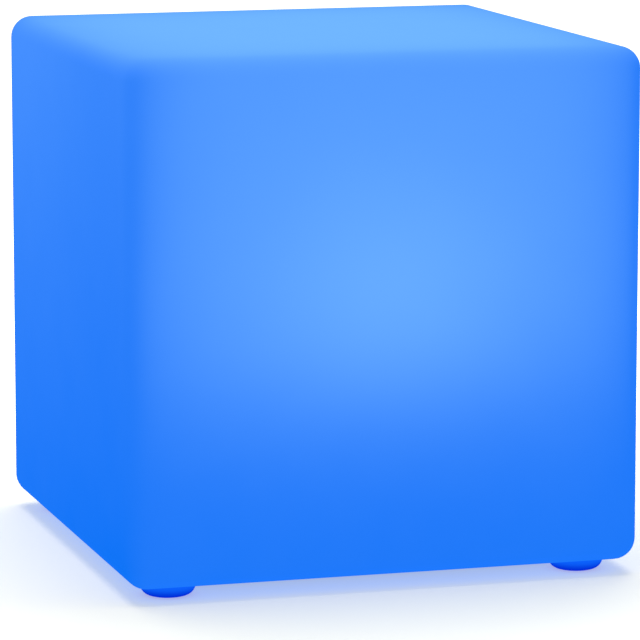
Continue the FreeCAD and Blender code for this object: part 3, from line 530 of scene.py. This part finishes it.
@dataclass(frozen=True)
class GlowingFoot:
    """The feet's polyethylene, with the shell's light from above painted on as a glow that darkens
    towards the floor.
    """

    name: str = "glowing_foot"
    # painted light: a dark blue base for the lit feet
    body: Colour = (0.0, 0.008, 0.10)
    upper: Colour = (0.004, 0.118, 0.90)
    lower: Colour = (0.0, 0.022, 0.62)
    height: float = SHELL_LOW.z
    skin: Pattern = Pattern(700.0)
    skin_depth: float = 0.03 * MM
    wear: Pattern = Pattern(80.0)
    roughness: Span = (0.50, 0.62)

    def build(self) -> bpy.types.Material:
        """Build the feet's material.

        Returns:
            The material.
        """
        graph = Graph.of_material(self.name)
        _, _, z = graph.axes()
        return graph.principled(
            Base_Color=self.body,
            Roughness=graph.span(graph.noise(self.wear), self.roughness),
            Specular_IOR_Level=0.0,
            # painted light: brighter towards the shell, darker at the floor
            Emission_Color=graph.blend(graph.step(z, 0.0, self.height), self.lower, self.upper),
            Emission_Strength=1.0,
            Normal=graph.bump(graph.noise(self.skin), self.skin_depth),
        )


@dataclass(frozen=True)
class MouldedPlastic:
    """An injection-moulded plastic with a spark-eroded grain."""

    name: str
    colour: Colour
    roughness: Span = (0.39, 0.51)
    grain: float = 1400.0
    grain_depth: float = 0.03 * MM
    cloud: Pattern = Pattern(45.0, 4.0)
    darkest: float = 0.9
    coat: float = 0.0

    def build(self) -> bpy.types.Material:
        """Build the plastic's material.

        Returns:
            The material.
        """
        graph = Graph.of_material(self.name)
        cloud = graph.noise(self.cloud)
        return graph.principled(
            Base_Color=graph.blend(cloud, shade(self.colour, self.darkest), self.colour),
            Roughness=graph.span(cloud, self.roughness),
            Coat_Weight=self.coat,
            Normal=graph.bump(graph.cells(self.grain), self.grain_depth),
        )


@dataclass(frozen=True)
class SoftRubber:
    """Rubber or silicone, with a dusty bloom."""

    name: str
    colour: Colour
    bloom: Colour
    roughness: Span = (0.65, 0.95)
    dust: Pattern = Pattern(120.0, 5.0)
    dusting: float = 0.35
    sheen: float = 0.15
    skin: Pattern = Pattern(2500.0, 2.0)
    skin_depth: float = 0.02 * MM

    def build(self) -> bpy.types.Material:
        """Build the rubber's material.

        Returns:
            The material.
        """
        graph = Graph.of_material(self.name)
        dust = graph.times(graph.noise(self.dust), self.dusting)
        return graph.principled(
            Base_Color=graph.blend(dust, self.colour, self.bloom),
            Roughness=graph.span(dust, self.roughness),
            Sheen_Weight=self.sheen,
            Normal=graph.bump(graph.noise(self.skin), self.skin_depth),
        )


@dataclass(frozen=True)
class PlatedMetal:
    """A turned or pressed metal with fine tool marks and some tarnish."""

    name: str
    colour: Colour
    tarnish: Colour
    roughness: Span = (0.23, 0.35)
    marks: Pattern = Pattern(600.0, 3.0, (1.0, 1.0, 12.0))
    mark_depth: float = 0.012 * MM
    stains: Pattern = Pattern(180.0, 4.0)
    stained: Span = (0.52, 0.75)
    stain_roughness: float = 0.1

    def build(self) -> bpy.types.Material:
        """Build the metal's material.

        Returns:
            The material.
        """
        graph = Graph.of_material(self.name)
        lines = graph.noise(self.marks)
        stain = graph.step(graph.noise(self.stains), *self.stained)
        roughness = graph.span(lines, self.roughness)
        return graph.principled(
            Base_Color=graph.blend(stain, self.colour, self.tarnish),
            Metallic=1.0,
            Roughness=graph.add(roughness, graph.times(stain, self.stain_roughness)),
            Normal=graph.bump(lines, self.mark_depth),
        )


@dataclass(frozen=True)
class CircuitBoard:
    """A board's solder mask, over copper tracks that show through as a lighter tone."""

    name: str
    mask: Colour
    copper_tone: Colour
    track_pitch: float = 2.4 * MM
    track_share: float = 0.5
    bundle: int = 9
    jogs: Pattern = Pattern(70.0, 1.0)
    gaps: Pattern = Pattern(140.0, 0.0)
    gap_level: float = 0.42
    line_width: float = 0.4 * MM
    copper_depth: float = 0.03 * MM
    wear: Pattern = Pattern(300.0)
    roughness: Span = (0.32, 0.42)
    coat: float = 0.25

    def tracks(self, graph: Graph) -> Socket:
        """Lay rows of tracks that jog by up to a bundle's width, and lines across a bundle apart.

        Args:
            graph: the material's graph.

        Returns:
            1 on the copper and 0 between it.
        """
        x, y, _ = graph.axes()
        bundle_width = self.bundle * self.track_pitch
        wander = graph.times(graph.noise(self.jogs), bundle_width)
        jog = graph.math("SNAP", wander, self.track_pitch)
        rows = graph.math("FRACT", graph.math("DIVIDE", graph.add(x, jog), self.track_pitch))
        on_row = graph.math("LESS_THAN", rows, self.track_share)
        unbroken = graph.math("GREATER_THAN", graph.noise(self.gaps), self.gap_level)
        line = graph.math("LESS_THAN", graph.math("PINGPONG", y, bundle_width), self.line_width)
        return graph.math("MAXIMUM", graph.times(on_row, unbroken), line)

    def build(self) -> bpy.types.Material:
        """Build the board's material.

        Returns:
            The material.
        """
        graph = Graph.of_material(self.name)
        copper = self.tracks(graph)
        return graph.principled(
            Base_Color=graph.blend(copper, self.mask, self.copper_tone),
            Roughness=graph.span(graph.noise(self.wear), self.roughness),
            Coat_Weight=self.coat,
            Normal=graph.bump(copper, self.copper_depth),
        )


@dataclass(frozen=True)
class LedPackage:
    """Square LED bodies with a round resin window that glows."""

    name: str = "led_package"
    body: Colour = (0.86, 0.86, 0.82)
    resin: Colour = (0.85, 0.80, 0.45)
    light: Colour = (0.03, 0.20, 1.0)
    strength: float = 2.0
    pitch: Span = (20 * MM, 15 * MM)
    window: Span = (1.9 * MM, 2.09 * MM)
    window_depth: float = 0.1 * MM
    roughness: Span = (0.40, 0.15)

    def build(self) -> bpy.types.Material:
        """Build the LEDs' material.

        Returns:
            The material.
        """
        graph = Graph.of_material(self.name)
        x, y, _ = graph.axes()
        squares = []
        for place, pitch in zip((x, y), self.pitch):
            cell = graph.math("FRACT", graph.math("DIVIDE", place, pitch))
            off = graph.times(graph.minus(cell, HALF), pitch)
            squares.append(graph.times(off, off))
        outside = graph.step(graph.math("SQRT", graph.add(*squares)), *self.window)
        inside = graph.minus(1.0, outside)
        return graph.principled(
            Base_Color=graph.blend(inside, self.body, self.resin),
            Roughness=graph.span(inside, self.roughness),
            Emission_Color=graph.blend(inside, NO_LIGHT, self.light),
            Emission_Strength=self.strength,
            Normal=graph.bump(outside, self.window_depth),
        )


@dataclass(frozen=True)
class FrostedDiffuser:
    """The dome's opal plastic, with the LEDs' light in it."""

    name: str = "frosted_diffuser"
    colour: Colour = (0.80, 0.84, 0.90)
    darkest: float = 0.92
    dim: Colour = (0.0, 0.02, 0.1)
    light: Colour = (0.05, 0.24, 0.85)
    lit_heights: Span = (68 * MM, 96 * MM)
    cloud: Pattern = Pattern(40.0)
    skin: Pattern = Pattern(1500.0)
    skin_depth: float = 0.02 * MM
    wear: Pattern = Pattern(300.0)
    roughness: Span = (0.5, 0.6)

    def build(self) -> bpy.types.Material:
        """Build the dome's material.

        Returns:
            The material.
        """
        graph = Graph.of_material(self.name)
        _, _, z = graph.axes()
        darker = shade(self.colour, self.darkest)
        return graph.principled(
            Base_Color=graph.blend(graph.noise(self.cloud), darker, self.colour),
            Roughness=graph.span(graph.noise(self.wear), self.roughness),
            Emission_Color=graph.blend(graph.step(z, *self.lit_heights), self.dim, self.light),
            Emission_Strength=1.0,
            Normal=graph.bump(graph.noise(self.skin), self.skin_depth),
        )


@dataclass(frozen=True)
class ClearAcrylic:
    """A clear moulded light pipe, with the mould's faint ripple."""

    name: str = "clear_acrylic"
    colour: Colour = (0.93, 0.97, 1.0)
    deeper: Colour = (0.85, 0.92, 0.97)
    clearness: float = 0.85
    refraction: float = 1.49
    ripple: Pattern = Pattern(350.0, 2.0)
    ripple_depth: float = 0.02 * MM
    roughness: Span = (0.05, 0.13)

    def build(self) -> bpy.types.Material:
        """Build the acrylic's material.

        Returns:
            The material.
        """
        graph = Graph.of_material(self.name)
        ripple = graph.noise(self.ripple)
        return graph.principled(
            Base_Color=graph.blend(ripple, self.colour, self.deeper),
            Roughness=graph.span(ripple, self.roughness),
            Transmission_Weight=self.clearness,
            IOR=self.refraction,
            Normal=graph.bump(ripple, self.ripple_depth),
        )


@dataclass(frozen=True)
class ShrinkFilm:
    """A cell's plain shrink film, with its bright rolled ends."""

    name: str = "shrink_film"
    film: Colour = (0.02, 0.16, 0.13)
    end: Colour = (0.72, 0.71, 0.68)
    film_end: float = 32 * MM
    wrinkles: Pattern = Pattern(90.0, 4.0, (1.0, 0.15, 1.0))
    wrinkle_depth: float = 0.06 * MM
    roughness: Span = (0.18, 0.38)
    coat: float = 0.4

    def build(self) -> bpy.types.Material:
        """Build the film's material.

        Returns:
            The material.
        """
        graph = Graph.of_material(self.name)
        _, y, _ = graph.axes()
        at_end = graph.math("GREATER_THAN", graph.size_of(y), self.film_end)
        wrinkle = graph.noise(self.wrinkles)
        return graph.principled(
            Base_Color=graph.blend(at_end, self.film, self.end),
            Metallic=at_end,
            Roughness=graph.span(wrinkle, self.roughness),
            Coat_Weight=self.coat,
            Normal=graph.bump(wrinkle, self.wrinkle_depth),
        )


@dataclass(frozen=True)
class LeadSheath:
    """A flat lead's sheath, with a groove between each pair of conductors, painted darker as painted
    shade.
    """

    name: str
    colour: Colour
    conductor: float = 1.25 * MM
    groove_share: float = 0.25
    groove_shade: float = 0.4
    groove_depth: float = 0.2 * MM
    wear: Pattern = Pattern(400.0)
    roughness: Span = (0.50, 0.65)

    def build(self) -> bpy.types.Material:
        """Build the sheath's material.

        Returns:
            The material.
        """
        graph = Graph.of_material(self.name)
        _, y, _ = graph.axes()
        ridge = graph.math("PINGPONG", graph.math("DIVIDE", y, self.conductor), HALF)
        crown = graph.step(ridge, 0.0, self.groove_share)
        return graph.principled(
            # painted shade: the colour darkens into each groove
            Base_Color=graph.blend(crown, shade(self.colour, self.groove_shade), self.colour),
            Roughness=graph.span(graph.noise(self.wear), self.roughness),
            Normal=graph.bump(crown, self.groove_depth),
        )


class Finish(Enum):
    """Every finish on the light."""

    SHELL = GlowingShell()
    FOOT = GlowingFoot()
    HOUSING = MouldedPlastic(
        "housing_plastic", (0.66, 0.67, 0.68), (0.44, 0.56), grain_depth=0.09 * MM
    )
    TRAY = MouldedPlastic("tray_plastic", (0.80, 0.80, 0.79), (0.34, 0.46), grain=2200.0)
    BLACK = MouldedPlastic("black_plastic", (0.012, 0.012, 0.014), (0.36, 0.48))
    NYLON = MouldedPlastic("nylon", (0.72, 0.68, 0.56), (0.32, 0.44), darkest=0.84)
    CHIP = MouldedPlastic("chip_epoxy", (0.010, 0.010, 0.011), (0.49, 0.61), grain=5200.0)
    BUTTON = MouldedPlastic(
        "button_plastic", (0.42, 0.43, 0.45), (0.24, 0.36), grain=2600.0, coat=0.2
    )
    GASKET = SoftRubber("gasket_rubber", (0.035, 0.037, 0.04), (0.10, 0.10, 0.10))
    SILICONE = SoftRubber("silicone", (0.055, 0.058, 0.063), (0.16, 0.16, 0.165), (0.55, 0.85))
    STEEL = PlatedMetal("zinc_steel", (0.33, 0.34, 0.36), (0.20, 0.21, 0.22))
    BRASS = PlatedMetal("turned_brass", (0.76, 0.56, 0.24), (0.45, 0.32, 0.14))
    NICKEL = PlatedMetal("bright_nickel", (0.70, 0.69, 0.66), (0.5, 0.48, 0.42), (0.15, 0.27))
    BOARD = CircuitBoard("control_board_mask", (0.012, 0.11, 0.045), (0.03, 0.20, 0.08))
    LED_BOARD = CircuitBoard(
        "led_board_mask", (0.78, 0.79, 0.78), (0.86, 0.87, 0.86), track_pitch=5 * MM, track_share=0.75
    )
    LED = LedPackage()
    DIFFUSER = FrostedDiffuser()
    ACRYLIC = ClearAcrylic()
    CELL = ShrinkFilm()
    BATTERY_LEAD = LeadSheath("battery_sheath", (0.45, 0.02, 0.015))
    LED_LEAD = LeadSheath("led_sheath", (0.06, 0.06, 0.065))

    @cache
    def material(self) -> bpy.types.Material:
        """Return the finish's material, which is made when it is first asked for."""
        return self.value.build()


def dress(finish: Finish, *nodes: str) -> None:
    """Give CAD nodes a finish.

    Args:
        finish: the finish.
        *nodes: the nodes' names.
    """
    for name in nodes:
        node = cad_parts[name]
        if not node.material_slots:
            node.data.materials.append(None)
        for slot in node.material_slots:
            slot.material = finish.material()
        log.info("dressed %s in %s", name, finish.value.name)


# ---------------------------------------------------------------- modelling helpers
def clear_selection() -> None:
    """Deselect every object."""
    bpy.ops.object.select_all(action="DESELECT")


def select_only(piece: bpy.types.Object) -> None:
    """Select one object and make it the active one.

    Args:
        piece: the object.
    """
    clear_selection()
    piece.select_set(True)
    bpy.context.view_layer.objects.active = piece


def settle(piece: bpy.types.Object) -> None:
    """Put a piece's place into its mesh, so that the object sits at the origin."""
    select_only(piece)
    bpy.ops.object.transform_apply(location=True, rotation=True, scale=True)


def apply_modifier(piece: bpy.types.Object, kind: str, **settings: object) -> None:
    """Add a modifier and apply it.

    Args:
        piece: the piece.
        kind: the modifier's type.
        **settings: its properties.
    """
    modifier = piece.modifiers.new(kind.lower(), kind)
    for name, value in settings.items():
        setattr(modifier, name, value)
    bpy.context.view_layer.objects.active = piece
    bpy.ops.object.modifier_apply(modifier=modifier.name)


def polish(piece: bpy.types.Object, finish: Finish) -> None:
    """Smooth a modelled piece but for its sharp edges, and give it its finish.

    Args:
        piece: the piece.
        finish: its finish.
    """
    select_only(piece)
    bpy.ops.object.shade_smooth_by_angle(angle=SMOOTH_ANGLE)
    piece.data.materials.append(finish.material())
    log.info("modelled %s with %d faces", piece.name, len(piece.data.polygons))


def start_edit() -> None:
    """Open the active piece in edit mode."""
    bpy.ops.object.mode_set(mode="EDIT")


def end_edit() -> None:
    """Close edit mode."""
    bpy.ops.object.mode_set(mode="OBJECT")


def pick_all(kind: str) -> None:
    """Select the whole mesh, as corners, edges or faces."""
    bpy.ops.mesh.select_mode(type=kind)
    bpy.ops.mesh.select_all(action="SELECT")


def pick(piece: bpy.types.Object, kind: str, wanted: Callable[[MeshItem], bool]) -> None:
    """Select the corners, edges or faces that pass a test, and nothing else.

    Args:
        piece: the piece, in edit mode.
        kind: VERT, EDGE or FACE.
        wanted: the test.
    """
    bpy.ops.mesh.select_all(action="DESELECT")
    bpy.ops.mesh.select_mode(type=kind)
    mesh = bmesh.from_edit_mesh(piece.data)
    for item in {"VERT": mesh.verts, "EDGE": mesh.edges, "FACE": mesh.faces}[kind]:
        item.select = wanted(item)
    mesh.select_flush_mode()


def looks_down(face: bmesh.types.BMFace, height: float) -> bool:
    """Tell whether a face looks straight down at a height."""
    return face.normal.z < -STRAIGHT and abs(face.calc_center_median().z - height) < NEAR


def round_corners(radius: float, segments: int) -> None:
    """Round the selected corners of a flat face."""
    bpy.ops.mesh.bevel(affect="VERTICES", offset=radius, segments=segments, profile=ROUND)


def extrude_up(height: float) -> None:
    """Extrude the selected faces straight up."""
    bpy.ops.mesh.extrude_region_move(TRANSFORM_OT_translate={"value": (0, 0, height)})


def narrow(share: float, middle: Point) -> None:
    """Bring what is selected to a share of its width and depth, about a point."""
    bpy.ops.transform.resize(value=(share, share, 1), center_override=middle)


# ---------------------------------------------------------------- the cube
@dataclass
class CubeShell:
    """The moulded shell, with its wall, its recess and the opening in that."""

    wall: float = 5 * MM
    rounding: float = SHELL_ROUNDING
    rounding_segments: int = 10
    recess_side: float = 150 * MM
    recess_corner: float = 12 * MM
    recess_depth: float = 7 * MM
    opening_side: float = 118 * MM
    corner_segments: int = 6

    def block(self) -> bpy.types.Object:
        """Model the rounded block that fills the CAD shell's box.

        Returns:
            The block.
        """
        clear_selection()
        bpy.ops.mesh.primitive_cube_add(size=1, location=(SHELL_LOW + SHELL_HIGH) / 2)
        piece = bpy.context.active_object
        piece.name = "cube_shell"
        piece.scale = SHELL_HIGH - SHELL_LOW
        settle(piece)
        apply_modifier(
            piece, "BEVEL", width=self.rounding, segments=self.rounding_segments, limit_method="NONE"
        )
        return piece

    def sink_recess(self, piece: bpy.types.Object) -> None:
        """Press the recess into the underside and open it.

        Args:
            piece: the rounded block.
        """
        floor = SHELL_LOW.z
        half_flat = SHELL_HIGH.x - self.rounding
        half_recess = self.recess_side / 2
        start_edit()
        pick(piece, "FACE", lambda face: looks_down(face, floor))
        bpy.ops.mesh.inset(thickness=half_flat - half_recess)
        pick(
            piece,
            "VERT",
            lambda corner: abs(abs(corner.co.x) - half_recess) < NEAR
            and abs(corner.co.z - floor) < NEAR,
        )
        round_corners(self.recess_corner, self.corner_segments)
        pick(
            piece,
            "FACE",
            lambda face: looks_down(face, floor)
            and all(abs(corner.co.x) < half_recess + NEAR for corner in face.verts),
        )
        extrude_up(self.recess_depth)
        bpy.ops.mesh.extrude_region_move()
        narrow(self.opening_side / self.recess_side, (0, 0, floor + self.recess_depth))
        bpy.ops.mesh.delete(type="FACE")
        end_edit()

    def build(self) -> None:
        """Model the shell and let it stand for the CAD one."""
        piece = self.block()
        self.sink_recess(piece)
        apply_modifier(piece, "SOLIDIFY", thickness=self.wall, offset=-1.0)
        polish(piece, Finish.SHELL)
        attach(piece, "light")
        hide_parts("shell")


@dataclass
class RoundFeet:
    """The four feet, each with a well-rounded lower edge."""

    radius: float = 21 * MM
    edge: float = 8.5 * MM
    edge_segments: int = 8
    sides: int = 96

    def foot(self, number: int, x: float, y: float) -> bpy.types.Object:
        """Model one foot.

        Args:
            number: its number.
            x: its middle along x.
            y: its middle along y.

        Returns:
            The foot.
        """
        height = SHELL_LOW.z
        clear_selection()
        bpy.ops.mesh.primitive_cylinder_add(
            vertices=self.sides, radius=self.radius, depth=height, location=(x, y, height / 2)
        )
        piece = bpy.context.active_object
        piece.name = f"round_foot_{number}"
        settle(piece)
        start_edit()
        pick(piece, "EDGE", lambda edge: all(corner.co.z < NEAR for corner in edge.verts))
        bpy.ops.mesh.bevel(offset=self.edge, segments=self.edge_segments, affect="EDGES")
        end_edit()
        polish(piece, Finish.FOOT)
        return piece

    def build(self) -> None:
        """Model the four feet and let them stand for the CAD node."""
        _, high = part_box("feet")
        reach_x, reach_y = high.x - self.radius, high.y - self.radius
        places = [(x, y) for x in (-reach_x, reach_x) for y in (-reach_y, reach_y)]
        for number, (x, y) in enumerate(places, start=1):
            piece = self.foot(number, x, y)
            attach(piece, "light")
            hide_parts("feet")


# ---------------------------------------------------------------- the light module
@dataclass
class ReturnBoot:
    """The square rubber boot that pushes the button back out, and folds as it goes in."""

    wall: float = 0.5 * MM
    draft: float = math.radians(25)
    corner: float = 1.2 * MM
    corner_segments: int = 4
    rings: int = 4

    def skirt(self, low: Vector, high: Vector) -> bpy.types.Object:
        """Model the boot's wall, from its foot on the button up to the switch.

        Args:
            low: the CAD boot's lowest corner.
            high: its highest corner.

        Returns:
            The boot.
        """
        middle = (low + high) / 2
        side = high.x - low.x
        ring_height = (high.z - low.z) / self.rings
        clear_selection()
        bpy.ops.mesh.primitive_plane_add(size=side, location=(middle.x, middle.y, low.z))
        piece = bpy.context.active_object
        piece.name = "folding_boot"
        settle(piece)
        start_edit()
        pick_all("VERT")
        round_corners(self.corner, self.corner_segments)
        pick_all("FACE")
        for number in range(1, self.rings + 1):
            narrower = side - 2 * ring_height * math.tan(self.draft)
            extrude_up(ring_height)
            narrow(narrower / side, (middle.x, middle.y, low.z + number * ring_height))
            side = narrower
        bpy.ops.mesh.delete(type="FACE")
        pick_all("FACE")
        bpy.ops.mesh.normals_make_consistent(inside=False)
        end_edit()
        apply_modifier(piece, "SOLIDIFY", thickness=self.wall, offset=-1.0)
        return piece

    def build(self) -> None:
        """Model the boot, let it stand for the CAD one, and give it a mesh of its own."""
        low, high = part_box("return_boot")
        piece = self.skirt(low, high)
        polish(piece, Finish.SILICONE)
        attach(piece, "light")
        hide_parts("return_boot")
        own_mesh(piece)


@dataclass
class LightModule:
    """Everything in the screwed-in module, dressed node by node."""

    housing: tuple[str, ...] = ("module_base", "switch_housing")
    black_parts: tuple[str, ...] = ("battery_cradle", "storage_capacitor", "socket_body", "switch_block")
    metal_pins: tuple[str, ...] = ("battery_tabs", "socket_pin", "socket_pins", "switch_pins")
    chips: tuple[str, ...] = ("control_chip", "drive_transistors", "charge_inductor")

    def build(self) -> None:
        """Dress the module's nodes."""
        dress(Finish.HOUSING, *self.housing)
        dress(Finish.BLACK, *self.black_parts)
        dress(Finish.NICKEL, *self.metal_pins)
        dress(Finish.BRASS, "module_inserts")
        dress(Finish.STEEL, "module_screws")
        dress(Finish.GASKET, "module_gasket", "dome_seal")
        dress(Finish.SILICONE, "cover_anchor", "port_cover")
        dress(Finish.BUTTON, "power_button")
        dress(Finish.ACRYLIC, "charge_light_pipe")
        dress(Finish.CELL, "battery_cell_left", "battery_cell_right")
        dress(Finish.BOARD, "control_board")
        dress(Finish.CHIP, *self.chips)
        dress(Finish.NYLON, "lead_headers", "lead_plugs")
        dress(Finish.TRAY, "led_tray")
        dress(Finish.LED_BOARD, "led_board")
        dress(Finish.LED, "led_chips")
        dress(Finish.DIFFUSER, "light_dome")
        dress(Finish.BATTERY_LEAD, "battery_lead")
        dress(Finish.LED_LEAD, "led_lead")


# ---------------------------------------------------------------- the studio
@dataclass
class Studio:
    """A pale floor, soft lamps and a white surround."""

    floor_side: float = 60.0
    floor_drop: float = 0.1 * MM
    floor_colour: Colour = (0.80, 0.76, 0.64)
    floor_lift: Colour = (0.36, 0.39, 0.385)
    lift_reach: Span = (0.25, 0.9)
    surround: float = 0.45
    lamp_size: float = 2.2
    lamp_aim: Point = (0.0, 0.0, 0.2)
    key_power: float = 60.0
    key_place: Point = (0.1, 0.55, 2.6)
    under_power: float = 26.0
    under_place: Point = (0.4, -0.5, -1.6)

    def card(self) -> bpy.types.Material:
        """Build the floor's card, which shows the camera a little more light than falls on it.

        Far from the cube it is white. From below nothing of it is seen.

        Returns:
            The material.
        """
        graph = Graph.of_material("studio_floor")
        x, y, _ = graph.axes()
        away = graph.math("SQRT", graph.add(graph.times(x, x), graph.times(y, y)))
        lift = graph.blend(graph.step(away, *self.lift_reach), self.floor_lift, WHITE)
        paper = graph.shader("ShaderNodeBsdfDiffuse", Color=self.floor_colour)
        glow = graph.shader("ShaderNodeEmission", Color=lift, Strength=graph.seen())
        both = graph.node("ShaderNodeAddShader")
        graph.feed(both.inputs[0], paper)
        graph.feed(both.inputs[1], glow)
        one_way = graph.node("ShaderNodeMixShader")
        graph.feed(one_way.inputs[0], graph.node("ShaderNodeNewGeometry").outputs["Backfacing"])
        graph.feed(one_way.inputs[1], both.outputs[0])
        graph.feed(one_way.inputs[2], graph.shader("ShaderNodeBsdfTransparent"))
        graph.close(one_way.outputs[0])
        return graph.owner

    def floor(self) -> None:
        """Lay the floor just under the feet, where it casts no shadow of its own."""
        clear_selection()
        bpy.ops.mesh.primitive_plane_add(size=self.floor_side, location=(0, 0, -self.floor_drop))
        plane = bpy.context.active_object
        plane.name = "studio_floor"
        plane.data.materials.append(self.card())
        plane.visible_shadow = False

    def sky(self) -> None:
        """Surround the scene with soft white light, which is full white where it is seen."""
        world = bpy.data.worlds.new("studio_surround")
        bpy.context.scene.world = world
        graph = Graph(world)
        level = graph.span(graph.seen(), (self.surround, 1.0))
        background = graph.shader("ShaderNodeBackground", Color=WHITE, Strength=level)
        graph.close(background, "ShaderNodeOutputWorld")

    def lamp(self, name: str, place: Point, power: float) -> None:
        """Hang a square soft box that looks at the cube.

        Args:
            name: the lamp's name.
            place: where it hangs.
            power: its power in watts.
        """
        light = bpy.data.lights.new(name, "AREA")
        light.energy = power
        light.size = self.lamp_size
        lamp = bpy.data.objects.new(name, light)
        lamp.visible_camera = False
        bpy.context.scene.collection.objects.link(lamp)
        lamp.location = place
        aim = Vector(self.lamp_aim) - Vector(place)
        lamp.rotation_euler = aim.to_track_quat("-Z", "Y").to_euler()

    def build(self) -> None:
        """Set the studio up."""
        self.floor()
        self.sky()
        self.lamp("soft_box", self.key_place, self.key_power)
        self.lamp("under_box", self.under_place, self.under_power)
        log.info("set up the studio")


@dataclass
class Viewpoint:
    """The photograph's camera, with its angles in degrees and its focal length in pixels."""

    azimuth: float = -16.44
    elevation: float = 9.28
    distance: float = 3.3305
    target: Point = (4.77 * MM, 0.0, 173.83 * MM)
    focal_pixels: float = 4240.7
    frame_pixels: float = 640.0
    sensor: float = 36.0
    far_end: float = 50.0

    def build(self) -> None:
        """Place the camera."""
        turn, rise = math.radians(self.azimuth), math.radians(self.elevation)
        level = math.cos(rise)
        back = Vector((math.sin(turn) * level, -math.cos(turn) * level, math.sin(rise)))
        camera = bpy.data.cameras.new("photo_camera")
        camera.sensor_width = self.sensor
        camera.lens = self.sensor * self.focal_pixels / self.frame_pixels
        camera.clip_end = self.far_end
        holder = bpy.data.objects.new("photo_camera", camera)
        bpy.context.scene.collection.objects.link(holder)
        holder.location = Vector(self.target) + back * self.distance
        holder.rotation_euler = (-back).to_track_quat("-Z", "Y").to_euler()
        bpy.context.scene.camera = holder
        log.info("placed the camera")


def main() -> None:
    """Build the looks in order."""
    logging.basicConfig(level=logging.INFO, format="%(message)s")
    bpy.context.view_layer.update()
    bpy.context.scene.view_settings.view_transform = "Standard"
    Viewpoint().build()
    Studio().build()
    CubeShell().build()
    RoundFeet().build()
    ReturnBoot().build()
    LightModule().build()


if __name__ == "__main__":
    main()
